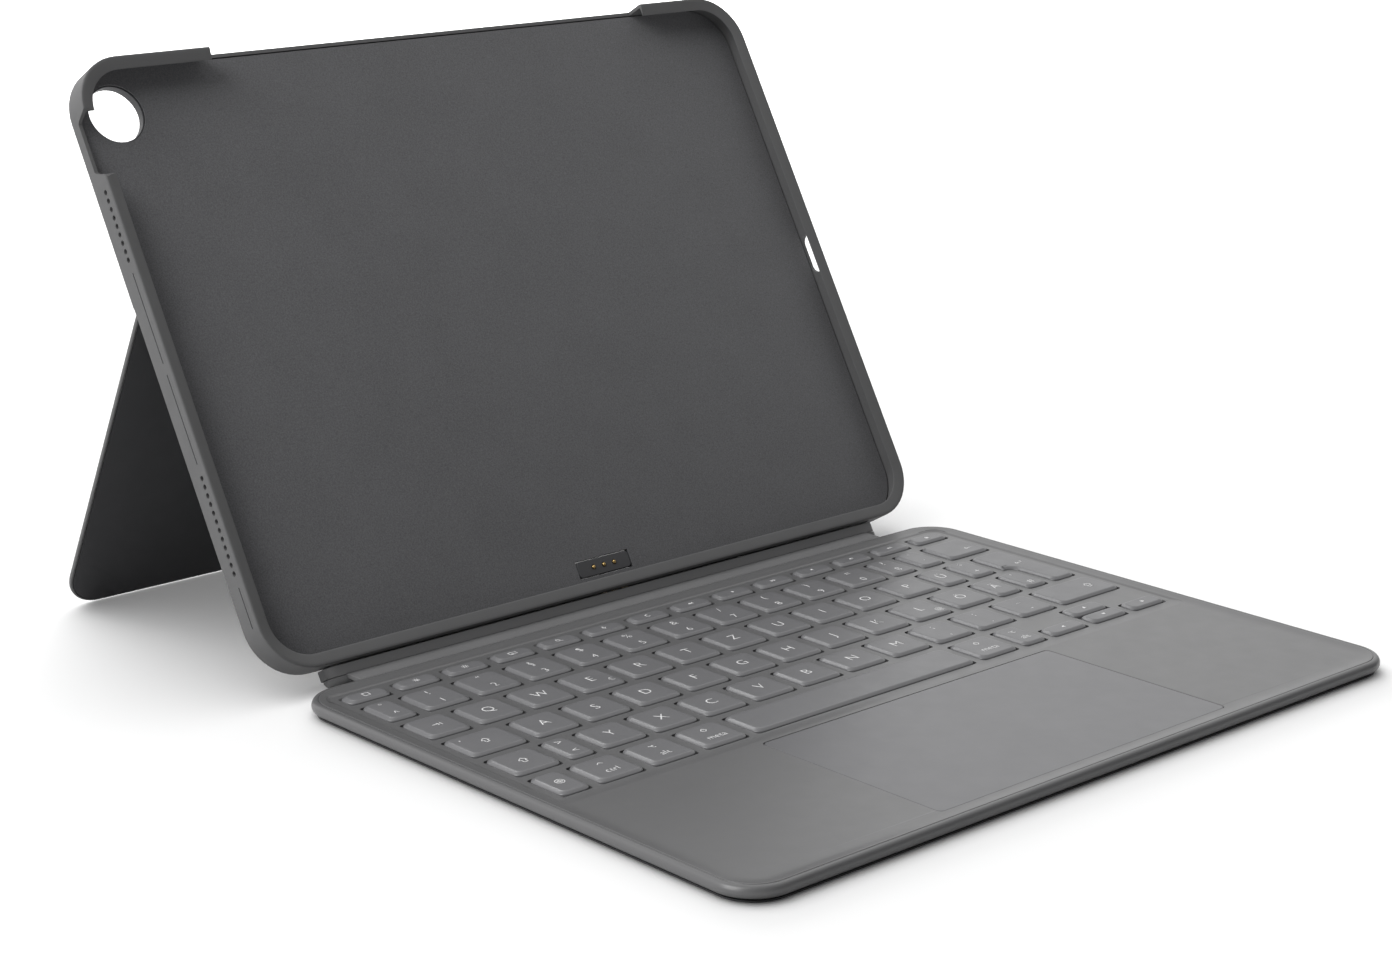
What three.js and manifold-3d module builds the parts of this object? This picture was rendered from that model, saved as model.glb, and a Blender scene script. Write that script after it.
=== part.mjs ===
// Tablet keyboard case: a tray with a kickstand holds the tablet, and a keyboard hangs on the tray's
// lower edge by a magnetic dock bar and a two-crease flap. Millimetres, +Z up, X along the long edge,
// the user at -Y. The case stands open for typing, and the origin is at the middle of its footprint.
import * as THREE from 'three';
import { mergeVertices } from 'three/addons/utils/BufferGeometryUtils.js';
import Module from 'manifold-3d';

const wasm = await Module();
wasm.setup();

// ---- Driving dimensions ----

// Tray, in its own frame: x along the long edge, y up the tray from its lower edge, z towards the user.
const TRAY_TILT = 30;            // degrees back from vertical
const TRAY_WIDTH = 250.2;
const TRAY_HEIGHT = 181.8;
const TRAY_CORNER = 15.5;
const TRAY_FOOT_HEIGHT = 7.22;   // of the tray's lower front edge above the table
const TRAY_FOOT_Y = 7.73;        // of the same edge behind the deck's rear edge
const LIP_FRONT = 0.4;
const LIP_BACK = -0.35;
const WALL_BACK = -8.3;
const LEDGE_FRONT = -7.65;
const LEDGE_WIDTH = 4;
const EDGE_ROUND = 1.0;
const POCKET_WIDTH = 248;
const POCKET_BOTTOM = 1.2;
const POCKET_TOP = 180.1;
const POCKET_CORNER = 14.4;
const WINDOW_WIDTH = 242.4;
const WINDOW_BOTTOM = 4.3;
const WINDOW_TOP = 177.75;
const WINDOW_CORNER = 11.5;
const OPEN_EDGE_LEFT = -78.6;    // the top wall is absent between these two
const OPEN_EDGE_RIGHT = 86;
const OPEN_EDGE_FLOOR = -6.1;
const SIDE_LINE = -2.3;          // speaker holes and grooves lie on this line of the side walls

// Sheets behind the tablet
const FIT_GAP = 0.3;             // between pieces that lie side by side
const LINING_FRONT = -6.15;
const LINING_BACK = -6.5;
const SHELL_FRONT = -6.6;
const SHELL_BACK = -7.55;
const COVER_FRONT = -8.4;
const COVER_BACK = -9.9;
const COVER_WIDTH = 248;
const COVER_CORNER = 14.6;
const COVER_TOP = TRAY_HEIGHT - 0.6;

// Camera opening behind the upper left corner
const CAMERA_X = -111;
const CAMERA_Y = 167.1;
const CAMERA_RADIUS = 8.4;
const CAMERA_RING = 1.1;

// Kickstand and its friction hinges
const HINGE_Y = 108.95;
const HINGE_Z = (COVER_FRONT + COVER_BACK) / 2;
const STAND_THICK = COVER_FRONT - COVER_BACK;
const STAND_LENGTH = 108.9;
const STAND_CORNER = 12;
const STAND_RIM = 1.3;
const HINGE_GAP = 1.7;           // between the hinge axis and the upper cover
const HINGE_SPAN = 34;
const HINGE_X = 78;
const KNUCKLE_RADIUS = 0.75;
const PIN_RADIUS = 0.35;
const PIN_BORE = 0.42;

// Keyboard deck, in its own frame: y = 0 at the rear edge, z = 0 on the table
const DECK_WIDTH = 248.8;
const DECK_DEPTH = 178.5;
const DECK_TOP = 4.25;
const DECK_CORNER = 12;
const DECK_ROUND = 1.1;
const DECK_WALL = 2.6;
const DECK_CEILING = 3.0;
const DECK_UNDERSIDE = 0.75;
const WELL_FLOOR = 3.6;
const WELL_HALF_WIDTH = 118.6;
const WELL_REAR = -5.2;
const WELL_FRONT = -105.2;
const SKIN_INSET = 1.4;

// Keys: each cap stands in its own opening of the deck
const FIELD_LEFT = -115.75;
const FIELD_RIGHT = 115.75;
const KEY_PITCH = 17.76;
const KEY_WEB = 3.65;            // deck material left between two openings
const ROW_PITCH = 17.55;
const KEY_DEPTH = ROW_PITCH - KEY_WEB;
const FUNCTION_REAR = -8.4;
const FUNCTION_DEPTH = 6.1;
const NUMBER_REAR = -18.2;
const ARROW_DEPTH = 6.6;
const CAP_CLEARANCE = 0.3;
const CAP_CORNER = 1.5;
const CAP_TOP = 4.4;
const CAP_BOTTOM = 2.7;

// Trackpad
const PAD_WIDTH = 110.4;
const PAD_DEPTH = 62.8;
const PAD_CENTRE_Y = -140.7;
const PAD_TOP = 4.2;

// Dock bar and flap, measured in the tray's and the deck's frames
const DOCK_HALF_LENGTH = 108.2;
const DOCK_TOP = -0.35;
const DOCK_FRONT = -2.5;
const DOCK_BACK = -8.6;
const FLAP_HALF_LENGTH = 101.5;
const FLAP_RADIUS = 0.7;
const FLAP_HEIGHT = 2.7;
const FLAP_DECK_GAP = 1.0;
const FLAP_LENGTH = 5.85;

// ---- Finishes ----

const finish = (color, roughness, metalness = 0) => ({ color, roughness, metalness });
const SOFT_TOUCH = finish(0x5f5f61, 0.62);
const CHARCOAL = finish(0x2d2d2f, 0.85);
const LINING = finish(0x3a3a3d, 0.95);
const HARD_PLASTIC = finish(0x4b4b4e, 0.55);
const DECK_SKIN = finish(0x757577, 0.6);
const KEY_PLASTIC = finish(0x6b6b70, 0.5);
const PAD_GLASS = finish(0x808085, 0.35);
const STEEL = finish(0xa9abad, 0.35, 1);
const ALUMINIUM = finish(0x9a9b9e, 0.4, 1);
const MAGNET = finish(0x8d8f92, 0.3, 1);
const GOLD = finish(0xc9a24a, 0.3, 1);
const BOARD = finish(0x1f4a35, 0.5);
const FILM = finish(0xd8d8d2, 0.4);

// ---- Helpers ----

const radians = THREE.MathUtils.degToRad;

// A closed geometry as a solid that can be joined and cut.
function solid(geometry) {
  const bare = geometry.clone();
  bare.deleteAttribute('normal');
  bare.deleteAttribute('uv');
  const merged = mergeVertices(bare, 1e-5);
  return new wasm.Manifold(new wasm.Mesh({
    numProp: 3,
    vertProperties: new Float32Array(merged.attributes.position.array),
    triVerts: new Uint32Array(merged.index.array),
  }));
}

function geometryOf(shape) {
  const mesh = shape.getMesh();
  const geometry = new THREE.BufferGeometry();
  geometry.setAttribute('position', new THREE.BufferAttribute(mesh.vertProperties, 3));
  geometry.setIndex(new THREE.BufferAttribute(mesh.triVerts, 1));
  return geometry;
}

const join = (first, ...others) => others.reduce((sum, other) => sum.add(other), first);
const cut = (first, ...others) => others.reduce((rest, other) => rest.subtract(other), first);

// Box between two values on each axis.
function block([x0, x1], [y0, y1], [z0, z1]) {
  const geometry = new THREE.BoxGeometry(x1 - x0, y1 - y0, z1 - z0);
  return solid(geometry.translate((x0 + x1) / 2, (y0 + y1) / 2, (z0 + z1) / 2));
}

// Rectangle with four rounded corners, between two values on X and on Y.
function roundedOutline([x0, x1], [y0, y1], radius) {
  const outline = new THREE.Shape();
  outline.absarc(x1 - radius, y1 - radius, radius, 0, Math.PI / 2);
  outline.absarc(x0 + radius, y1 - radius, radius, Math.PI / 2, Math.PI);
  outline.absarc(x0 + radius, y0 + radius, radius, Math.PI, 1.5 * Math.PI);
  outline.absarc(x1 - radius, y0 + radius, radius, 1.5 * Math.PI, 2 * Math.PI);
  return outline;
}

// Outline extruded along Z. A bevel rounds both rims and stays inside the outline.
function slab(outline, [z0, z1], { bevel = 0, curveSegments = 4 } = {}) {
  const geometry = new THREE.ExtrudeGeometry(outline, {
    depth: z1 - z0 - 2 * bevel,
    bevelEnabled: bevel > 0,
    bevelThickness: bevel,
    bevelSize: bevel,
    bevelOffset: -bevel,
    bevelSegments: 2,
    curveSegments,
  });
  return solid(geometry.translate(0, 0, z0 + bevel));
}

const plate = (x, y, radius, z, options) => slab(roundedOutline(x, y, radius), z, options);
const centred = (width) => [-width / 2, width / 2];
const around = (centre, size) => [centre - size / 2, centre + size / 2];

// Cylinder along one axis, from the middle outwards.
function rod(axis, radius, length, centre, sides = 12) {
  const geometry = new THREE.CylinderGeometry(radius, radius, length, sides);
  if (axis === 'x') geometry.rotateZ(Math.PI / 2);
  if (axis === 'z') geometry.rotateX(Math.PI / 2);
  return solid(geometry.translate(...centre));
}

// Outline in the YZ plane (its first coordinate is y, its second z), extruded along X.
function profileAlongX(points, halfLength) {
  const outline = new THREE.Shape(points.map(([y, z]) => new THREE.Vector2(y, z)));
  const geometry = new THREE.ExtrudeGeometry(outline, { depth: 2 * halfLength, bevelEnabled: false });
  geometry.translate(0, 0, -halfLength);
  geometry.rotateY(Math.PI / 2);
  geometry.rotateX(Math.PI / 2);
  return solid(geometry);
}

const model = new THREE.Group();
const tray = new THREE.Group();
const kickstand = new THREE.Group();
const dock = new THREE.Group();
const deck = new THREE.Group();
model.add(tray, deck);
tray.add(kickstand, dock);

function add(parent, name, shape, look) {
  const mesh = new THREE.Mesh(geometryOf(shape), new THREE.MeshStandardMaterial(look));
  mesh.name = name;
  parent.add(mesh);
}

// ---- Tray ----

const SPEAKER_PITCH = 2.52;
const SPEAKER_RADIUS = 0.68;
const UPPER_SPEAKER = { top: 143.15, count: 9 };
const LOWER_SPEAKER = { top: 58.65, count: 12 };
const SIDE_GROOVES = [[92.35, 119.15], [62.75, 89.05], [15.05, 26.95]];
const PORT_Y = 90.7;
const PORT_LENGTH = 13;
const PORT_HEIGHT = 5.8;
const PORT_Z = -3.3;
const PORT_MARGIN = 10;
const RELIEF_LOW = 146.6;
const RELIEF_HIGH = 167.8;
const RELIEF_SLOPE = 2.6;
const RELIEF_FLOOR = -4.4;
const RELIEF_REACH = 6;
const GROOVE_WIDTH = 0.45;
const GROOVE_DEPTH = 0.35;
const VOLUME_BUTTONS = { volume_up_button: -104, volume_down_button: -91 };
const VOLUME_LENGTH = 10.4;
const VOLUME_HEIGHT = 2.2;
const VOLUME_Z = -3.4;
const CONTACT_Y = 8.5;
const CONTACT_LENGTH = 20;
const CONTACT_WIDTH = 5;
const PIN_PITCH = 4;

// Power button relief: it opens the lip and the front half of the left wall, with sloping ends.
function powerButtonRelief() {
  const relief = new THREE.Shape();
  relief.moveTo(RELIEF_LOW + RELIEF_SLOPE, RELIEF_FLOOR);
  relief.lineTo(RELIEF_HIGH - RELIEF_SLOPE, RELIEF_FLOOR);
  relief.lineTo(RELIEF_HIGH, LIP_FRONT + 1);
  relief.lineTo(RELIEF_LOW, LIP_FRONT + 1);
  const notch = new THREE.ExtrudeGeometry(relief, { depth: RELIEF_REACH, bevelEnabled: false });
  notch.rotateX(Math.PI / 2);
  notch.rotateZ(Math.PI / 2);
  return solid(notch.translate(-TRAY_WIDTH / 2 - 1, 0, 0));
}

function speakerHoles(side) {
  const holes = [];
  for (const { top, count } of [UPPER_SPEAKER, LOWER_SPEAKER]) {
    for (let i = 0; i < count; i += 1) {
      const centre = [side * TRAY_WIDTH / 2, top - i * SPEAKER_PITCH, SIDE_LINE];
      holes.push(rod('x', SPEAKER_RADIUS, 6, centre, 6));
    }
  }
  return holes;
}

function sideGrooves(side) {
  const portGap = side > 0 ? [PORT_Y - PORT_MARGIN, PORT_Y + PORT_MARGIN] : [PORT_Y, PORT_Y];
  const face = side * TRAY_WIDTH / 2;
  return SIDE_GROOVES.map(([low, high]) => {
    const start = low > PORT_Y ? Math.max(low, portGap[1]) : low;
    const end = high < PORT_Y ? Math.min(high, portGap[0]) : high;
    return block(around(face, 2 * GROOVE_DEPTH), [start, end], around(SIDE_LINE, GROOVE_WIDTH));
  });
}

function portOpening() {
  const outline = roundedOutline(around(PORT_Z, PORT_HEIGHT), around(PORT_Y, PORT_LENGTH), PORT_HEIGHT / 2 - 0.01);
  const geometry = new THREE.ExtrudeGeometry(outline, { depth: 8, bevelEnabled: false, curveSegments: 3 });
  geometry.rotateY(-Math.PI / 2);
  return solid(geometry.translate(TRAY_WIDTH / 2 + 4, 0, 0));
}

function bumperFrame() {
  const body = plate(centred(TRAY_WIDTH), [0, TRAY_HEIGHT], TRAY_CORNER, [WALL_BACK, LIP_FRONT],
    { bevel: EDGE_ROUND });
  const pocket = plate(centred(POCKET_WIDTH), [POCKET_BOTTOM, POCKET_TOP], POCKET_CORNER,
    [LEDGE_FRONT, LIP_BACK]);
  const window = plate(centred(WINDOW_WIDTH), [WINDOW_BOTTOM, WINDOW_TOP], WINDOW_CORNER, [-1, 1]);
  const back = plate(centred(TRAY_WIDTH - 2 * LEDGE_WIDTH), [LEDGE_WIDTH, TRAY_HEIGHT - LEDGE_WIDTH],
    TRAY_CORNER - LEDGE_WIDTH, [WALL_BACK - 1, LEDGE_FRONT + 1]);
  const openEdge = block([OPEN_EDGE_LEFT, OPEN_EDGE_RIGHT], [WINDOW_TOP - 2, TRAY_HEIGHT + 1],
    [OPEN_EDGE_FLOOR, 2]);
  const volumeSlots = Object.values(VOLUME_BUTTONS).map((x) => block(
    around(x, VOLUME_LENGTH + 2 * FIT_GAP), [POCKET_TOP - 1, TRAY_HEIGHT + 1],
    around(VOLUME_Z, VOLUME_HEIGHT + 2 * FIT_GAP)));
  const contactSlot = block(around(0, CONTACT_LENGTH), [-1, POCKET_BOTTOM + 1], [-6.4, -4.0]);
  return cut(body, pocket, window, back, openEdge, powerButtonRelief(), portOpening(), contactSlot,
    ...volumeSlots, ...speakerHoles(-1), ...speakerHoles(1), ...sideGrooves(-1), ...sideGrooves(1));
}

const cameraHole = (radius) => rod('z', radius, 20, [CAMERA_X, CAMERA_Y, WALL_BACK], 24);
const contactHole = (clearance) => block(around(0, CONTACT_LENGTH + 2 * clearance),
  around(CONTACT_Y, CONTACT_WIDTH + 2 * clearance), [WALL_BACK, 0]);

// Sheet that fills the pocket's outline less a gap.
function pocketSheet(gap, z) {
  return plate(centred(POCKET_WIDTH - 2 * gap), [POCKET_BOTTOM + gap, POCKET_TOP - gap],
    POCKET_CORNER - gap, z);
}

function upperBackCover() {
  const body = plate(centred(COVER_WIDTH), [HINGE_Y + HINGE_GAP, COVER_TOP], COVER_CORNER,
    [COVER_BACK, COVER_FRONT]);
  const square = block(centred(COVER_WIDTH), [HINGE_Y + HINGE_GAP, HINGE_Y + HINGE_GAP + COVER_CORNER],
    [COVER_BACK, COVER_FRONT]);
  return cut(join(body, square), cameraHole(CAMERA_RADIUS + CAMERA_RING + FIT_GAP), ...knuckleNotches());
}

function cameraRing() {
  const outer = rod('z', CAMERA_RADIUS + CAMERA_RING, 3.4, [CAMERA_X, CAMERA_Y, -8.5], 24);
  return cut(outer, cameraHole(CAMERA_RADIUS));
}

function contactBlock() {
  const body = block(around(0, CONTACT_LENGTH), around(CONTACT_Y, CONTACT_WIDTH), [-7.5, -6.2]);
  const pins = [-1, 0, 1].map((i) => rod('z', 0.8, 4, [i * PIN_PITCH, CONTACT_Y, -6.6], 8));
  const channel = block(around(0, 2 * PIN_PITCH + 4), around(CONTACT_Y, 2), [-8, -6.9]);
  return cut(body, channel, ...pins);
}

function contactPins() {
  const rail = block(around(0, 2 * PIN_PITCH + 3), around(CONTACT_Y, 1.4), [-7.45, -7.05]);
  const pins = [-1, 0, 1].map((i) => rod('z', 0.55, 1.2, [i * PIN_PITCH, CONTACT_Y, -6.55], 8));
  return join(rail, ...pins);
}

// Contact pads on the tray's lower edge, on one carrier.
function edgeContacts() {
  const carrier = block(around(0, CONTACT_LENGTH - 2 * FIT_GAP), [0.45, 1.05], [-6.2, -4.2]);
  const pads = [-1, 0, 1].map((i) => block(around(i * PIN_PITCH, 2), [0.1, 0.6], [-5.9, -4.5]));
  return join(carrier, ...pads);
}

add(tray, 'bumper_frame', bumperFrame(), SOFT_TOUCH);
add(tray, 'back_shell', cut(pocketSheet(0.25, [SHELL_BACK, SHELL_FRONT]),
  cameraHole(CAMERA_RADIUS + CAMERA_RING + FIT_GAP), contactHole(FIT_GAP)), HARD_PLASTIC);
add(tray, 'microfibre_lining', cut(pocketSheet(0.4, [LINING_BACK, LINING_FRONT]),
  cameraHole(CAMERA_RADIUS + 0.4), contactHole(FIT_GAP)), LINING);
add(tray, 'upper_back_cover', upperBackCover(), SOFT_TOUCH);
add(tray, 'camera_ring', cameraRing(), HARD_PLASTIC);
add(tray, 'contact_block', contactBlock(), HARD_PLASTIC);
add(tray, 'contact_pins', contactPins(), GOLD);
add(tray, 'edge_contacts', edgeContacts(), GOLD);
add(tray, 'tray_magnet_strip', plate(centred(160), [6, 11], 1, [-8.25, -7.7]), MAGNET);

for (const [name, x] of Object.entries(VOLUME_BUTTONS)) {
  const button = plate(around(x, VOLUME_LENGTH), around(VOLUME_Z, VOLUME_HEIGHT), 0.9, [-0.6, 0.6]);
  add(tray, name, button.rotate([90, 0, 0]).translate([0, TRAY_HEIGHT - 0.35, 0]), SOFT_TOUCH);
}

// ---- Kickstand ----

// The inner bottom edge of the open stand is its lowest point, and it rests on the table.
const tilt = radians(TRAY_TILT);
const hingeHeight = TRAY_FOOT_HEIGHT + HINGE_Y * Math.cos(tilt) + HINGE_Z * Math.sin(tilt);
const standReach = Math.hypot(STAND_LENGTH, STAND_THICK / 2);
const standLean = Math.atan2(STAND_THICK / 2, STAND_LENGTH) + Math.acos(hingeHeight / standReach);
const STAND_OPENING = standLean + tilt;

// Room for the knuckles of both hinges, in the tray's frame.
function knuckleNotches() {
  return [-1, 1].map((side) => block(around(side * HINGE_X, HINGE_SPAN + 2 * FIT_GAP),
    [HINGE_Y - 1.4, HINGE_Y + HINGE_GAP + 0.3], [COVER_BACK - 1, COVER_FRONT + 1]));
}

// Kickstand pieces lie in a frame on the hinge axis, with y down the stand turned to -y.
const standOutline = (inset, top, radius) => {
  const half = COVER_WIDTH / 2 - inset;
  const outline = new THREE.Shape();
  outline.moveTo(half, top);
  outline.lineTo(-half, top);
  outline.absarc(-half + radius, -STAND_LENGTH + inset + radius, radius, Math.PI, 1.5 * Math.PI);
  outline.absarc(half - radius, -STAND_LENGTH + inset + radius, radius, 1.5 * Math.PI, 2 * Math.PI);
  return outline;
};

const STAND_INNER = STAND_THICK / 2;
const STAND_OUTER = -STAND_THICK / 2;
const HINGE_NOTCH_BOTTOM = -12.3;
const LEAF_DEPTH = 12;

function standNotches(depth) {
  return [-1, 1].map((side) => block(around(side * HINGE_X, HINGE_SPAN + 2 * FIT_GAP), [depth, 2], [-2, 2]));
}

// Outer skin: a shallow pan whose rim wraps the core's edge.
function standOuterSkin() {
  const body = slab(standOutline(0, -0.1, STAND_CORNER), [STAND_OUTER, STAND_INNER]);
  const hollow = slab(standOutline(STAND_RIM, 1, STAND_CORNER - STAND_RIM), [STAND_OUTER + 0.35, 2]);
  return cut(body, hollow, ...standNotches(-1.6));
}

function standCore() {
  const body = slab(standOutline(STAND_RIM + 0.2, -0.4, STAND_CORNER - STAND_RIM - 0.2), [-0.35, 0.35]);
  return cut(body, ...standNotches(HINGE_NOTCH_BOTTOM));
}

function standInnerSkin() {
  const body = slab(standOutline(STAND_RIM + 0.2, -1.6, STAND_CORNER - STAND_RIM - 0.2), [0.4, STAND_INNER]);
  return cut(body, ...standNotches(-1.6));
}

// Hinge leaf on the stand: a flat leaf in the core's notch with one wide knuckle.
function hingeLeaf(x) {
  const leaf = block(around(x, HINGE_SPAN - 0.4), [-LEAF_DEPTH, -0.95], [-0.33, 0.33]);
  const arm = block(around(x, 16), [-1.2, 0], [-0.33, 0.33]);
  const knuckle = rod('x', KNUCKLE_RADIUS, 16, [x, 0, 0]);
  return cut(join(leaf, arm, knuckle), rod('x', PIN_BORE, HINGE_SPAN + 2, [x, 0, 0]));
}

// Hinge base on the tray: a plate behind the shell with two knuckles, one each side of the leaf's.
function hingeBase(x) {
  const base = block(around(x, HINGE_SPAN - 0.4), [HINGE_Y + 1.0, HINGE_Y + 14], [-8.25, -7.7]);
  const step = block(around(x, HINGE_SPAN - 0.4), [HINGE_Y + 0.9, HINGE_Y + 1.6], [-9.3, -7.9]);
  const knuckles = [-1, 1].map((side) => {
    const middle = x + side * (HINGE_SPAN / 2 - 4.2);
    return join(
      rod('x', KNUCKLE_RADIUS, 8, [middle, HINGE_Y, HINGE_Z]),
      block(around(middle, 8), [HINGE_Y, HINGE_Y + 1.2], [HINGE_Z - 0.33, HINGE_Z + 0.33]),
    );
  });
  const bore = rod('x', PIN_BORE, HINGE_SPAN + 2, [x, HINGE_Y, HINGE_Z]);
  return cut(join(base, step, ...knuckles), bore);
}

kickstand.position.set(0, HINGE_Y, HINGE_Z);
kickstand.rotation.x = STAND_OPENING;
add(kickstand, 'kickstand_outer_skin', standOuterSkin(), SOFT_TOUCH);
add(kickstand, 'kickstand_core', standCore(), ALUMINIUM);
add(kickstand, 'kickstand_inner_skin', standInnerSkin(), CHARCOAL);
for (const [side, x] of [['left', -HINGE_X], ['right', HINGE_X]]) {
  add(kickstand, `hinge_leaf_${side}`, hingeLeaf(x), STEEL);
  add(kickstand, `hinge_pin_${side}`, rod('x', PIN_RADIUS, HINGE_SPAN - 1, [x, 0, 0]), STEEL);
  add(tray, `hinge_base_${side}`, hingeBase(x), STEEL);
}

// ---- Dock bar ----

// Depth of the table below a point of the tray, measured along the tray's own y.
const tableAt = (z) => (-TRAY_FOOT_HEIGHT - z * Math.sin(tilt)) / Math.cos(tilt);
const DOCK_SLOT_FRONT = -3.2;
const DOCK_SLOT_BACK = -7.8;
const DOCK_SLOT_DEPTH = 1.8;
const DOCK_FLOOR_CLEARANCE = 0.02;

// The bar's lower face lies flat on the table while the tray leans on the kickstand.
function dockBarCover() {
  const round = 1.2;
  const profile = [
    [DOCK_TOP, DOCK_FRONT - 0.5],
    [DOCK_TOP, DOCK_BACK + 0.5],
    [DOCK_TOP - 0.5, DOCK_BACK],
    [tableAt(DOCK_BACK) + DOCK_FLOOR_CLEARANCE, DOCK_BACK],
    [tableAt(DOCK_FRONT - round) + DOCK_FLOOR_CLEARANCE, DOCK_FRONT - round],
    [tableAt(DOCK_FRONT - round) + round, DOCK_FRONT],
    [DOCK_TOP - 0.5, DOCK_FRONT],
  ];
  const slot = block(centred(2 * DOCK_HALF_LENGTH - 5), [DOCK_TOP - DOCK_SLOT_DEPTH, 1],
    [DOCK_SLOT_BACK, DOCK_SLOT_FRONT]);
  return cut(profileAlongX(profile, DOCK_HALF_LENGTH), slot);
}

function dockTopPlate() {
  const body = block(centred(2 * DOCK_HALF_LENGTH - 5.6), [DOCK_TOP - 0.6, DOCK_TOP - 0.1],
    [DOCK_SLOT_BACK + FIT_GAP, DOCK_SLOT_FRONT - FIT_GAP]);
  return cut(body, block(around(0, CONTACT_LENGTH), [-3, 1], [-6.4, -4.2]));
}

function dockMagnets() {
  const row = block(centred(190), [DOCK_TOP - 1.7, DOCK_TOP - 0.7], [-7.2, -3.8]);
  return cut(row, block(around(0, CONTACT_LENGTH + 4), [-4, 1], [-6.6, -4.0]));
}

function dockContactPins() {
  const carrier = block(around(0, CONTACT_LENGTH - 1), [DOCK_TOP - 1.6, DOCK_TOP - 0.2], [-6.2, -4.4]);
  const pins = [-1, 0, 1].map((i) => rod('y', 0.5, 0.5, [i * PIN_PITCH, DOCK_TOP - 0.05, -5.2], 10));
  return join(carrier, ...pins);
}

add(dock, 'dock_bar_cover', dockBarCover(), SOFT_TOUCH);
add(dock, 'dock_top_plate', dockTopPlate(), STEEL);
add(dock, 'dock_magnets', dockMagnets(), MAGNET);
add(dock, 'dock_contact_pins', dockContactPins(), GOLD);

// ---- Flap: a strip between the bar's front face and the deck's rear edge, round along both creases ----

function hingeFlap() {
  const arcSteps = 5;
  const points = [];
  for (const [centre, start] of [[FLAP_DECK_GAP, 0.5], [FLAP_DECK_GAP + FLAP_LENGTH, -0.5]]) {
    for (let i = 0; i <= arcSteps; i += 1) {
      const angle = (start + i / arcSteps) * Math.PI;
      points.push([centre + FLAP_RADIUS * Math.cos(angle), FLAP_HEIGHT + FLAP_RADIUS * Math.sin(angle)]);
    }
  }
  return profileAlongX(points, FLAP_HALF_LENGTH);
}

add(deck, 'hinge_flap', hingeFlap(), SOFT_TOUCH);

// ---- Keyboard deck ----

// A key's opening: x and y ranges in the deck's frame.
const opening = (x0, x1, y0, y1) => ({ x: [x0, x1], y: [y0, y1] });

// Openings of one row, from the left edge of the field: each key takes its pitch, less the web.
// A pitch of null takes what is left up to the field's right edge.
function rowOpenings(rear, depth, pitches) {
  let left = FIELD_LEFT;
  return pitches.map((pitch) => {
    const right = pitch === null ? FIELD_RIGHT : left + pitch - KEY_WEB;
    const key = opening(left, right, rear - depth, rear);
    left = right + KEY_WEB;
    return key;
  });
}

const rowRear = (row) => NUMBER_REAR - row * ROW_PITCH;
const repeated = (count, pitch) => Array(count).fill(pitch);
const TEN_KEYS = repeated(10, KEY_PITCH);
const FUNCTION_PITCH = (FIELD_RIGHT - FIELD_LEFT + KEY_WEB) / 14;

const functionRow = rowOpenings(FUNCTION_REAR, FUNCTION_DEPTH, repeated(14, FUNCTION_PITCH));
const numberRow = rowOpenings(rowRear(0), KEY_DEPTH, [12.4, ...TEN_KEYS, 12.6, 12.4, null]);
const topRow = rowOpenings(rowRear(1), KEY_DEPTH, [16.6, ...TEN_KEYS, 12.5, 12.3, null]);
const homeRow = rowOpenings(rowRear(2), KEY_DEPTH, [21.2, ...TEN_KEYS, 12.5, 11.4, null]);
const shiftRow = rowOpenings(rowRear(3), KEY_DEPTH, [17.7, 11.3, ...TEN_KEYS, null]);
const bottomRow = rowOpenings(rowRear(4), KEY_DEPTH,
  [12.5, KEY_PITCH, KEY_PITCH, KEY_PITCH, 86.6, KEY_PITCH, 12.3, KEY_PITCH, KEY_PITCH, null]);

// Arrow keys are half as deep: left and right at the front, up and down share one opening.
const bottomFront = rowRear(4) - KEY_DEPTH;
const [leftArrowPlace, middleArrowPlace, rightArrowPlace] = bottomRow.slice(7);
const frontHalf = ({ x }) => opening(...x, bottomFront, bottomFront + ARROW_DEPTH);
const rearHalf = ({ x }) => opening(...x, rowRear(4) - ARROW_DEPTH, rowRear(4));

const CAP_OPENINGS = [
  ...functionRow, ...numberRow, ...topRow, ...homeRow, ...shiftRow, ...bottomRow.slice(0, 7),
  frontHalf(leftArrowPlace), middleArrowPlace, frontHalf(rightArrowPlace),
];

// The tall enter key's opening joins its two rows.
const enterBridge = opening(homeRow[13].x[0], FIELD_RIGHT, homeRow[13].y[1] - 1, topRow[13].y[0] + 1);

const openingBlock = ({ x, y }) => block(x, y, [DECK_UNDERSIDE, DECK_TOP + 1]);

function capOver({ x, y }) {
  return plate([x[0] + CAP_CLEARANCE, x[1] - CAP_CLEARANCE], [y[0] + CAP_CLEARANCE, y[1] - CAP_CLEARANCE],
    CAP_CORNER, [CAP_BOTTOM, CAP_TOP], { curveSegments: 1 });
}

// Caps of one row on a common carrier under the deck.
function keyBank(openings) {
  const { x: [left], y } = openings[0];
  const { x: [, right] } = openings[openings.length - 1];
  const carrier = block([left, right], y, [CAP_BOTTOM - 0.3, CAP_BOTTOM + 0.01]);
  return join(carrier, ...openings.map(capOver));
}

function enterKey() {
  const upper = capOver(topRow[13]);
  const lower = capOver(opening(homeRow[13].x[0], FIELD_RIGHT, homeRow[13].y[0], topRow[13].y[0] + 4));
  return join(upper, lower);
}

const deckSheet = (inset, z, radius = DECK_CORNER - inset) => plate(centred(DECK_WIDTH - 2 * inset),
  [-DECK_DEPTH + inset, -inset], radius, z);

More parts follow.
